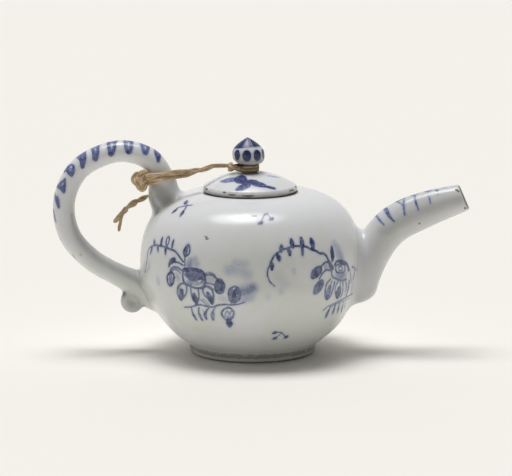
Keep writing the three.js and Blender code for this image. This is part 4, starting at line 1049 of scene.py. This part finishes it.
def crossingShare(surface, angles, shares):
    # where each column of a surface comes out of the pot for good
    share, angle = np.meshgrid(shares, angles, indexing="ij")
    gap = bodyGap(surface(share, angle))[0]
    inside = gap <= 0
    last = len(shares) - 1 - np.argmax(inside[::-1], axis=0)
    last = np.clip(last, 0, len(shares) - 2)
    column = np.arange(len(angles))
    a, b = gap[last, column], gap[last + 1, column]
    between = np.clip(-a / np.where(b - a == 0, 1, b - a), 0, 1)
    return shares[last] + (shares[last + 1] - shares[last]) * between


def filletRows(surface, angles, share, reach, count, towards):
    # from a ring a little way up the wall, a quadratic curve that ends level with the pot's skin and dips under
    step = 1e-3 * towards
    here = surface(share, angles)
    along = (surface(share + step, angles) - here) / abs(step)
    start = surface(share + towards * reach / np.linalg.norm(along, axis=-1), angles)
    around = surface(share, angles + 1e-3) - surface(share, angles - 1e-3)
    wall = unit(np.cross(around, along))
    middle = here.mean(axis=0)
    wall = wall * np.sign(np.einsum("ij,ij->i", wall, here - middle))[:, None]
    here = ontoBody(here)
    out = bodyGap(here)[1]
    level = unit(wall - out * np.einsum("ij,ij->i", wall, out)[:, None])
    end = ontoBody(here + level * reach, -0.004)
    flat = bodyGap(end)[1]
    corner = here + flat * np.einsum("ij,ij->i", end - here, flat)[:, None]
    s = np.linspace(0, 1, count)[:, None, None]
    curve = (1 - s) ** 2 * start + 2 * s * (1 - s) * corner + s**2 * end
    under = ontoBody(end + level * 0.3, -0.35)
    return np.concatenate([under[None], curve[::-1]])


def onBothSides(key, onto):
    # painted shade and stains on the front, and the same ones behind
    return [(strong, halves, [(share, side * angle) for share, angle in spots], onto)
            for strong, halves, spots in painting[key] for side in (-1, 1)]


def makeSpoutGrid():
    # the join, the outside, the rim and the inside as one closed run of rings, with their paint and marks
    angles = np.linspace(0, 2 * np.pi, spout["columns"], endpoint=False)
    shares = np.linspace(0, 1, 500)
    rows, reach = spout["rows"], spout["fillet"]
    cross = crossingShare(spoutSurface, angles, shares)
    fillet = filletRows(spoutSurface, angles, cross, reach, rows["fillet"], 1)
    speed = np.linalg.norm(spoutSurface(cross + 1e-3, angles) - spoutSurface(cross, angles), axis=-1) / 1e-3
    first = cross + reach / speed
    u = np.linspace(0, 1, rows["outer"])[1:, None]
    outer = spoutSurface(first + (spout["rimAt"] - first) * u, angles[None] + 0 * u)
    inner = lambda share, angle: spoutSurface(share, angle, spout["wall"])
    innerCross = crossingShare(inner, angles, shares)
    v = np.linspace(1, 0, rows["inner"])[:, None]
    inside = inner(innerCross + (spout["rimAt"] - innerCross) * v, angles[None] + 0 * v)
    turn = np.linspace(0, np.pi, rows["rim"] + 2)[1:-1, None]
    bulge = np.sin(turn) * 0.013
    inset = spout["wall"] * (1 - np.cos(turn)) / 2
    rim = spoutSurface(np.minimum(spout["rimAt"] + bulge, 0.9999), angles[None] + 0 * turn, inset)
    sunk = ontoBody(inside[-1], -0.35)
    grid = np.concatenate([fillet, outer, rim, inside, sunk[None]])
    first = len(fillet) + len(outer)
    row = np.arange(len(grid))[:, None] + np.zeros(len(angles))
    edge = np.clip(1.5 - np.abs(row - first - 3) / 1.7, 0, 1)
    onto = lambda spots: spoutSurface(spots[..., 0], np.radians(spots[..., 1]))
    behind = [(strong, halves, [(share + 0.006, -angle) for share, angle in spots])
              for strong, halves, spots in painting["spout"]]
    paint = np.stack(paintOn(grid, [(*stroke, onto) for stroke in painting["spout"] + behind]), axis=-1)
    rust = paintOn(grid, [(*stroke, onto) for stroke in painting["spoutSpecks"]])[0]
    outside = (row < first)[..., None]
    # painted shade: a grey band down each side of the spout, between the light on its top and the floor's on
    # its underside; the darker rim is wear
    shadesAndStains = onBothSides("spoutShades", onto)
    shadeAndStain = np.maximum(paintOn(grid, [], shadesAndStains)[2] * outside[..., 0], 0.75 * edge)
    return grid, paint * outside, np.stack([0.4 * edge, rust * (row < first + 3), edge], axis=-1), shadeAndStain


def makeHandleGrid():
    # the join at the root, the handle with closer rows round its curl, and the join at its end
    angles = np.linspace(0, 2 * np.pi, handle["columns"], endpoint=False)
    root = crossingShare(handleSurface, angles, np.linspace(0, 0.4, 500))
    past = 1 + 7 / handleLength
    back = lambda share, angle: handleSurface(past - share, angle)
    end = past - crossingShare(back, angles, np.linspace(0, 0.3, 600))
    first = filletRows(handleSurface, angles, root, handle["rootFillet"], 9, 1)
    last = filletRows(handleSurface, angles, end, handle["endFillet"], 9, -1)
    ahead, behind = lambda at: handleSurface(at + 5e-4, angles), lambda at: handleSurface(at - 5e-4, angles)
    speed = lambda at: np.linalg.norm(ahead(at) - behind(at), axis=-1) / 1e-3
    a = root + handle["rootFillet"] / speed(root)
    b = end - handle["endFillet"] / speed(end)
    many, late = handle["rows"]
    u = np.concatenate([np.linspace(0, 0.84, many)[1:-1], np.linspace(0.84, 1, late)[:-1]])[:, None]
    middle = handleSurface(a + (b - a) * u, angles[None] + 0 * u)
    grid = np.concatenate([first, middle, last[::-1]])
    onto = lambda spots: handleSurface(spots[..., 0], np.radians(spots[..., 1]))
    # painted shade under the twine at the root, along the bend's inner side, where it is partly pooled glaze,
    # near the end, and in the curl's pit and dimple
    shadeAndStain = paintOn(grid, [], onBothSides("handleShadesAndStains", onto))[2]
    for strong, wide, (x, z) in painting["curlShades"]:
        away = (grid[..., 0] - x) ** 2 + (grid[..., 2] - z) ** 2
        shadeAndStain = np.maximum(shadeAndStain, strong * np.exp(-(away / wide**2)))
    return grid, np.stack(paintOn(grid, dashStrokes()), axis=-1), shadeAndStain


def dashStrokes():
    # the dashes as they show from the front, and fuller ones on the back, joined over the handle's outer side
    onto = lambda spots: handleSurface(spots[..., 0], np.radians(spots[..., 1]))
    behind = [(max(strong, 0.62), 1.35 * np.array(halves), [(share, -angle) for share, angle in spots], onto)
              for strong, halves, spots in painting["dashes"]]
    return [(*stroke, onto) for stroke in painting["dashes"]] + behind


# Lid and knob
lid = {
    "shift": -0.3, "bottom": 44.1, "radius": 12.7, "edge": 1.4, "rise": 3.95, "wall": 1.9,
    "flange": (9.25, 7.95, 3), "columns": 300, "rows": {"under": 26, "rim": 22, "dome": 62},
    "unevenness": 0.06,
}
knob = {
    "foot": 49.1, "neck": 1.6, "neckTop": 52.165, "radius": 4.3, "side": 1.25, "height": 6.4,
    "under": (2.4, 51.5), "point": 1.2, "shift": -0.3, "lean": -0.05, "columns": 100, "rows": 96,
    "capHeight": 55.85, "tipHeight": 58.2,
}


def lidTop(radius):
    # a parabola over the lid's edge, with a small dip under the knob
    share = radius / lid["radius"]
    return lid["bottom"] + lid["edge"] + lid["rise"] * (1 - share**2) - 0.23 * np.exp(-((radius / 2.6) ** 2))


def makeLidGrid():
    # the underside with its flange, the rim and the dome, with paint and chips, and painted shade at the rim's
    # foot and round the knob
    bottom, radius = lid["bottom"], lid["radius"]
    outer, inner, deep = lid["flange"]
    crown = lidTop(0.0) - lid["wall"]
    under = softened([(0.2, crown), (4, crown - 0.4), (inner, lidTop(inner) - lid["wall"]),
                      (inner, bottom - deep), (outer, bottom - deep), (outer, bottom),
                      (radius - 0.4, bottom)], 0.3)
    rim = softened([(radius - 0.4, bottom), (radius, bottom + 0.2), (radius + 0.02, bottom + 0.9),
                    (radius - 0.3, lidTop(radius - 0.3) + 0.02),
                    (radius - 0.9, lidTop(radius - 0.9))], 0.45, 8)
    slope = np.linspace(radius - 0.9, 0.2, 300)
    rows = lid["rows"]
    profile = np.vstack([evenly(under, rows["under"])[:-1], evenly(rim, rows["rim"])[:-1],
                         evenly(np.stack([slope, lidTop(slope)], axis=1), rows["dome"])])
    turns = np.linspace(0, 2 * np.pi, lid["columns"], endpoint=False)
    grid = turnedGrid(profile, turns, np.full(len(profile), lid["shift"]))
    swell = lid["unevenness"] * (np.sin(2 * turns + 1) + 0.7 * np.sin(5 * turns) + 0.6 * np.sin(9 * turns + 2))
    outward = np.clip((profile[:, 0] - 10.5) / 2, 0, 1)[:, None]
    grid[..., 0] += outward * swell * np.cos(turns) * 0.8
    grid[..., 1] += outward * swell * np.sin(turns) * 0.8
    again = [(strong, halves, [(turn + 178, out) for turn, out in spots])
             for strong, halves, spots in painting["lid"]]
    paint = paintOn(grid, [(*stroke, lidPlace) for stroke in painting["lid"] + again])
    top = (profile[:, 1] > bottom + 0.3)[:, None]
    chips = paintOn(grid, [(*stroke, lidPlace) for stroke in painting["lidChips"]])[0]
    beyond = (profile[:, 0] > inner - 0.2)[:, None]
    low = np.clip((bottom + 0.3 - grid[..., 2]) / 0.3, 0, 1) * beyond
    # painted shade: darker towards the rim's foot over the seat's gap, in a ring round the knob's neck, and
    # where the neck's knot shades the dome
    shadeAndStain = 0.9 * np.clip((bottom + 1.25 - grid[..., 2]) / 1.1, 0, 1) ** 1.5 * beyond
    aside = np.hypot(grid[..., 0] + 0.6, grid[..., 1])
    shade = np.maximum(0.45 * np.clip((5 - aside) / 1.5, 0, 1) ** 2,
                       0.35 * np.exp(-((grid[..., 0] + 4.6) ** 2 + (grid[..., 1] + 1.5) ** 2) / 1.7))
    shadeAndStain = np.maximum(shadeAndStain, shade * (profile[:, 1] > bottom + 2)[:, None])
    level, fall = np.maximum(radius - 0.25 - profile[:, 0], 0), lidTop(radius) + 0.05 - profile[:, 1]
    worn = np.clip(1 - np.hypot(level, fall * 0.6) / 0.75, 0, 1)
    wear = np.stack([low, chips, 0.6 * worn[:, None] + 0 * low], axis=-1)
    return grid, np.stack(paint, axis=-1) * top[..., None], wear, shadeAndStain


def lidPlace(spots):
    # turn and radius to a point on the lid's top, and past its edge down the rim
    turn, radius = np.radians(spots[..., 0]), np.minimum(spots[..., 1], lid["radius"] - 0.1)
    height = lidTop(radius) - np.maximum(spots[..., 1] - lid["radius"] + 0.1, 0) * 1.6
    return np.stack([radius * np.sin(turn) + lid["shift"], -radius * np.cos(turn), height], axis=-1)


def makeKnobGrid():
    # a neck, the quarter ellipse under the bud and its blunt point, with paint on its panels and its cap
    top = knob["neckTop"]
    turn = np.linspace(0, 1, 30) * np.pi / 2
    under, low = knob["under"]
    middle, tall = top + knob["side"], knob["height"] - knob["side"]
    bulb = np.stack([under + (knob["radius"] - under) * np.sin(turn), middle - (middle - low) * np.cos(turn)],
                    axis=1)
    left = np.linspace(1, 0.004, 70)
    blunt = np.sqrt(left**2 + 0.05 * left * (1 - left))
    point = np.stack([knob["radius"] * np.sin(np.pi / 2 * np.minimum(1, knob["point"] * blunt**0.96)),
                      middle + tall * (1 - left)], axis=1)
    foot, waist = knob["foot"], knob["neck"]
    neck = softened([(0.2, foot - 0.4), (2.9, foot - 0.25), (1.9, foot + 0.3), (waist, foot + 1), (waist, low),
                     tuple(bulb[0])], 0.3)
    tip = np.array([(0.05, point[-1, 1] + 0.1)])
    profile = evenly(np.vstack([neck, bulb[1:], point[1:], tip]), knob["rows"])
    turns = np.linspace(0, 2 * np.pi, knob["columns"], endpoint=False)
    up = np.clip((profile[:, 1] - top + 1) / 1.5, 0, 1)
    shifts = lid["shift"] + (knob["shift"] + knob["lean"] * (profile[:, 1] - top)) * up
    grid = turnedGrid(profile, turns, shifts)

    def onto(spots):
        # turn in degrees from the front and height to a point on the bud
        rising = profile[len(profile) // 4:]
        height, turn = spots[..., 1], np.radians(spots[..., 0])
        radius = np.interp(height, rising[:, 1], rising[:, 0])
        shift = lid["shift"] + knob["shift"] + knob["lean"] * (height - top)
        return np.stack([radius * np.sin(turn) + shift, -radius * np.cos(turn), height], axis=-1)

    first, last = painting["panelHeights"]
    heights = (first, first + 0.35, last - 0.35, last)
    panels = [(1, np.array((0.74, 0.88, 0.88, 0.74)) * size, [(turn, height) for height in heights], onto)
              for turn, size in painting["panels"]]
    cover, strength, wash = paintOn(grid, panels)
    radius, height = profile[:, 0][:, None], profile[:, 1][:, None]
    turn = turns[None, :] + np.pi / 2
    line = knob["capHeight"] + 0.5 * np.cos(turn) + 0.3 * np.sin(turn)
    between = np.radians(painting["capTurns"])
    aside = np.abs((turn[..., None] - between + np.pi) % (2 * np.pi) - np.pi).min(axis=-1) * radius
    furrow = np.clip(0.5 + (aside - 0.02 - 0.06 * np.sin(3 * turn)) / 0.24, 0.25, 1)
    cap = np.clip(0.5 + (height - line) / 0.26, 0, 1) * furrow
    cap = np.maximum(cap, np.clip((height - knob["tipHeight"]) / 0.2, 0, 1))
    strength = np.maximum(strength, 1.0 * (height > line - 0.3))
    paint = np.stack([np.maximum(cover, cap), strength, wash], axis=-1)
    # painted shade under the bud, below its panels
    return grid, paint, 0.5 * np.clip(first - grid[..., 2], 0, 1)


potPiece = makePot()
spoutGrid, spoutPaint, spoutWear, spoutShadeAndStain = makeSpoutGrid()
spoutPiece = gridPiece("pot_spout", [spoutGrid],
                       {"paint": [spoutPaint], "wear": [spoutWear], "shadeAndStain": [spoutShadeAndStain]}, loop=True)
handleGrid, handlePaint, handleShadeAndStain = makeHandleGrid()
handlePiece = gridPiece("pot_handle", [handleGrid], {"paint": [handlePaint], "shadeAndStain": [handleShadeAndStain]})
lidGrid, lidPaint, lidWear, lidShade = makeLidGrid()
lidPiece = gridPiece("pot_lid", [lidGrid], {"paint": [lidPaint], "wear": [lidWear], "shadeAndStain": [lidShade]})
knobGrid, knobPaint, knobShade = makeKnobGrid()
knobPiece = gridPiece("lid_knob", [knobGrid], {"paint": [knobPaint], "shadeAndStain": [knobShade]})
for piece, body, node in ((potPiece, "pot", "pot_body"), (spoutPiece, "pot", "spout"),
                          (handlePiece, "pot", "handle"), (lidPiece, "lid", "lid"), (knobPiece, "lid", "knob")):
    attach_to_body(piece, body)
    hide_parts(node)
print("pot, spout, handle, lid and knob made")


# Finishes
class Wire:
    # a socket of a node tree; sums on wires add Math nodes
    def __init__(self, tree, socket=None):
        self.tree, self.socket = tree, socket

    def make(self, kind, values, settings=None, out=0, stops=None):
        # any node: its settings first, then a value or a wire for each of its sockets, by place or name
        node = self.tree.nodes.new(kind)
        for key, value in (settings or {}).items():
            setattr(node, key, value)
        if stops:
            ramp = node.color_ramp
            for k, (at, colour) in enumerate(stops):
                spot = ramp.elements[k] if k < 2 else ramp.elements.new(at)
                spot.position, spot.color = at, (*colour, 1)
        for key, value in values.items():
            if isinstance(value, Wire):
                self.tree.links.new(value.socket, node.inputs[key])
            else:
                node.inputs[key].default_value = value
        return Wire(self.tree, node.outputs[out])

    def math(self, operation, a, b, clamp=False):
        return self.make("ShaderNodeMath", {0: a, 1: b}, {"operation": operation, "use_clamp": clamp})

    def __add__(self, other):
        return self.math("ADD", self, other)

    def __sub__(self, other):
        return self.math("SUBTRACT", self, other)

    def __rsub__(self, other):
        return self.math("SUBTRACT", other, self)

    def __mul__(self, other):
        return self.math("MULTIPLY", self, other)

    __radd__, __rmul__ = __add__, __mul__

    def larger(self, other):
        return self.math("MAXIMUM", self, other)

    def held(self):
        return self.math("ADD", self, 0.0, clamp=True)

    def rise(self, low, high, smooth=True):
        # 0 below low, 1 above high
        kind = "SMOOTHSTEP" if smooth else "LINEAR"
        values = {0: self, 1: low, 2: high, 3: 0.0, 4: 1.0}
        return self.make("ShaderNodeMapRange", values, {"interpolation_type": kind})

    def mixed(self, first, second):
        # from the first colour to the second as this wire goes from 0 to 1
        first, second = (part if isinstance(part, Wire) else (*part, 1) for part in (first, second))
        return self.make("ShaderNodeMix", {0: self, 6: first, 7: second}, {"data_type": "RGBA"}, out=2)

    def noise(self, scale, detail=2.0, roughness=0.5):
        values = {"Vector": self, "Scale": scale, "Detail": detail, "Roughness": roughness}
        return self.make("ShaderNodeTexNoise", values)

    def stretched(self, factors):
        return self.make("ShaderNodeVectorMath", {0: self, 1: factors}, {"operation": "MULTIPLY"})

    def part(self, index):
        return self.make("ShaderNodeSeparateXYZ", {0: self}, out=index)


def newFinish(name):
    # a material, a wire to start from, its shader and its Object coordinates in millimetres
    material = bpy.data.materials.new(name)
    material.use_nodes = True
    tree = material.node_tree
    start = Wire(tree)
    spots = start.make("ShaderNodeTexCoord", {}, out=3).stretched((1000, 1000, 1000))
    return material, start, tree.nodes["Principled BSDF"], spots


def attach(shader, wires, fixed):
    # wires and fixed values to the shader's own sockets
    for key, wire in wires.items():
        wire.tree.links.new(wire.socket, shader.inputs[key])
    for key, value in fixed.items():
        shader.inputs[key].default_value = value


glazeLook = {
    "base": (0.8, 0.805, 0.82), "green": (0.73, 0.755, 0.71), "cool": (0.79, 0.79, 0.84),
    "warm": (0.75, 0.73, 0.68), "bare": (0.37, 0.31, 0.235), "dirt": (0.16, 0.115, 0.075),
    "rust": (0.09, 0.045, 0.02), "roughness": 0.19,
    "shadeAndStainColour": (0.1, 0.088, 0.065), "spoutTone": 0.86,
    "pot": {"thin": (0.34, 0.39, 0.54), "thick": (0.056, 0.072, 0.176)},
    "trim": {"thin": (0.28, 0.33, 0.55), "thick": (0.036, 0.048, 0.17)},
    "knob": {"thin": (0.15, 0.185, 0.38), "thick": (0.022, 0.029, 0.105)},
}


def makeGlaze(name, ink, tone=1.0):
    # mottled glaze over cobalt strokes, with iron specks, and worn edges that show the body
    material, start, shader, spots = newFinish(name)
    look = glazeLook
    paint = start.make("ShaderNodeAttribute", {}, {"attribute_name": "paint"}, out=1)
    wear = start.make("ShaderNodeAttribute", {}, {"attribute_name": "wear"}, out=1)
    shadeAndStain = start.make("ShaderNodeAttribute", {}, {"attribute_name": "shadeAndStain"}, out=2)
    cloudy, middling, fine = spots.noise(0.055, 3), spots.noise(0.33, 3), spots.noise(1.7, 3, 0.6)
    lower = 1 - spots.part(2).rise(24, 44)
    colour = (cloudy.rise(0.36, 0.64) * (0.25 + 0.75 * lower)).mixed(look["base"], look["green"])
    colour = (middling.rise(0.45, 0.8) * 0.5).mixed(colour, look["cool"])
    colour = (spots.noise(0.12, 2).rise(0.58, 0.8) * 0.35).mixed(colour, look["warm"])
    pips = start.make("ShaderNodeTexVoronoi", {"Vector": spots, "Scale": 0.2})
    pipTone = start.make("ShaderNodeTexVoronoi", {"Vector": spots, "Scale": 0.2}, out=1).part(0)
    pip = (1 - pips.rise(0.015, 0.05)) * pipTone.rise(0.72, 0.75)
    colour = (pip * 0.6).mixed(colour, look["dirt"])
    colour = colour.stretched((tone, tone, tone))
    # cobalt, pooled at the ends of strokes and thin where the brush was dry
    ragged = (fine - 0.5) * 0.42
    mask = (paint.part(0) + ragged).rise(0.25, 0.78)
    flow = 0.62 + 0.75 * spots.noise(0.8, 3, 0.6).rise(0.25, 0.75, False) + (fine - 0.5) * 0.35
    blurred = paint.part(1) * (0.12 + 0.26 * middling)
    washed = paint.part(2) * (0.35 + 1.1 * middling) * (0.65 + 0.7 * fine)
    amount = (mask * paint.part(1) * flow).larger(blurred).larger(washed).held()
    colour = amount.rise(0, 0.5, False).mixed(colour, ink["thin"])
    colour = amount.rise(0.38, 1, False).mixed(colour, ink["thick"])
    # worn edges, and painted shade in hollows and under overhangs, which on the handle's inner side is partly
    # pooled glaze and on the spout's rim partly wear
    colour = (shadeAndStain * (0.6 + 0.8 * middling)).held().mixed(colour, look["shadeAndStainColour"])
    bare = (wear.part(0) + (fine - 0.5) * 0.5).rise(0.35, 0.65)
    worn = (wear.part(2) * (0.35 + 1.1 * spots.noise(0.8, 3)) + (fine - 0.5) * 0.3).rise(0.42, 0.8)
    rust = (wear.part(1) + (fine - 0.5) * 0.5).rise(0.35, 0.75)
    colour = (bare * 0.85).mixed(colour, look["bare"])
    colour = (worn * 0.62).mixed(colour, look["dirt"])
    colour = (rust * 0.8).mixed(colour, look["rust"])
    dry = bare.larger(worn * 0.5).larger(rust * 0.7)
    rough = look["roughness"] + 0.6 * dry + 0.05 * middling + 0.05 * amount
    height = 0.6 * middling + 0.16 * fine - 0.5 * dry - 0.35 * pip
    normal = start.make("ShaderNodeBump", {"Strength": 0.3, "Distance": 0.00018, "Height": height})
    attach(shader, {"Base Color": colour, "Roughness": rough, "Normal": normal}, {"IOR": 1.47})
    return material


twineLook = {
    "stops": [(0.08, (0.17, 0.105, 0.05)), (0.32, (0.43, 0.29, 0.155)), (0.55, (0.7, 0.52, 0.32)),
              (0.8, (0.95, 0.8, 0.58))],
    "grey": (0.53, 0.43, 0.29), "dark": (0.075, 0.05, 0.02), "roughness": 0.85,
}


def makeFibre():
    # flat bast fibres: noise drawn out along each strand, its colour darker in the furrows as painted shade,
    # over the fibres' own tones
    material, start, shader, spots = newFinish("bast twine")
    along = start.make("ShaderNodeAttribute", {}, {"attribute_name": "fibre"}, out=1)
    coarse = along.stretched((1.5, 1.5, 0.22)).noise(1.6, 3, 0.6)
    thread = along.stretched((5.5, 5.5, 0.5)).noise(1.8, 3, 0.65)
    tone = 0.5 * coarse + 0.5 * thread + (spots.noise(0.35, 2) - 0.5) * 0.3
    colour = start.make("ShaderNodeValToRGB", {0: tone.rise(0.28, 0.72, False)}, stops=twineLook["stops"])
    colour = (spots.noise(0.22, 1).rise(0.5, 0.7) * 0.45).mixed(colour, twineLook["grey"])
    # darker where the cord is painted with shade, as on the lower turn round the knob's neck
    shadeAndStain = start.make("ShaderNodeAttribute", {}, {"attribute_name": "shadeAndStain"}, out=2)
    colour = shadeAndStain.mixed(colour, twineLook["dark"])
    height = thread + 0.5 * coarse
    normal = start.make("ShaderNodeBump", {"Strength": 0.75, "Distance": 0.00022, "Height": height})
    rough = twineLook["roughness"] - 0.25 * thread
    attach(shader, {"Base Color": colour, "Roughness": rough, "Normal": normal}, {"IOR": 1.45})
    return material


potGlaze = makeGlaze("painted glaze", glazeLook["pot"])
trimGlaze = makeGlaze("trim glaze", glazeLook["trim"])
spoutGlaze = makeGlaze("spout glaze", glazeLook["trim"], glazeLook["spoutTone"])
knobGlaze = makeGlaze("knob glaze", glazeLook["knob"])
fibreFinish = makeFibre()
for piece, finish in ((potPiece, potGlaze), (spoutPiece, spoutGlaze), (handlePiece, trimGlaze),
                      (lidPiece, trimGlaze), (knobPiece, knobGlaze), (cord, fibreFinish),
                      (knots[0], fibreFinish), (knots[1], fibreFinish)):
    piece.data.materials.append(finish)
print("finishes on")

# Stage
# A sun holds its strength, its angle in degrees and the way it shines from.
stage = {
    "floor": 12.0, "floorColour": (0.92, 0.896, 0.838), "backdrop": (0.9, 0.876, 0.82),
    "suns": [(1.2, 28, (-0.2, 0.09, 1)), (1.28, 30, (0.05, 0.11, 1))],
    "front": 0.17, "back": 0.7, "left": 0.16,
}


def makeStage():
    # a paper floor, two soft suns, and a room that is lit by how far each way faces back, front and left
    half = stage["floor"]
    mesh = bpy.data.meshes.new("floor")
    corners = [(-half, -half, 0), (half, -half, 0), (half, half, 0), (-half, half, 0)]
    mesh.from_pydata(corners, [], [(0, 1, 2, 3)])
    floor = bpy.data.objects.new("floor", mesh)
    scene.collection.objects.link(floor)
    paper, start, shader, spots = newFinish("paper floor")
    shade = spots.noise(0.02, 2).mixed([0.995 * part for part in stage["floorColour"]], stage["floorColour"])
    attach(shader, {"Base Color": shade}, {"Roughness": 0.9})
    mesh.materials.append(paper)
    for strength, angle, (x, y, z) in stage["suns"]:
        light = bpy.data.lights.new("top light", "SUN")
        light.energy, light.angle = strength, math.radians(angle)
        lamp = bpy.data.objects.new("top light", light)
        lamp.rotation_euler = (math.atan2(math.hypot(x, y), z), 0, math.atan2(y, x) + math.pi / 2)
        scene.collection.objects.link(lamp)
    world = bpy.data.worlds.new("room")
    world.use_nodes = True
    start = Wire(world.node_tree)
    way = start.make("ShaderNodeTexCoord", {})
    shade = way.part(1).larger(0) * stage["back"] + (way.part(1) * -1).larger(0) * stage["front"]
    shade = shade + (way.part(0) * -1).larger(0) * stage["left"]
    seen = start.make("ShaderNodeLightPath", {}).mixed(shade.mixed((0, 0, 0), (1, 1, 1)), stage["backdrop"])
    start.tree.links.new(seen.socket, start.tree.nodes["Background"].inputs["Color"])
    scene.world = world
    scene.view_settings.view_transform = "Standard"
    scene.view_settings.look = "None"


makeStage()
print("stage set")
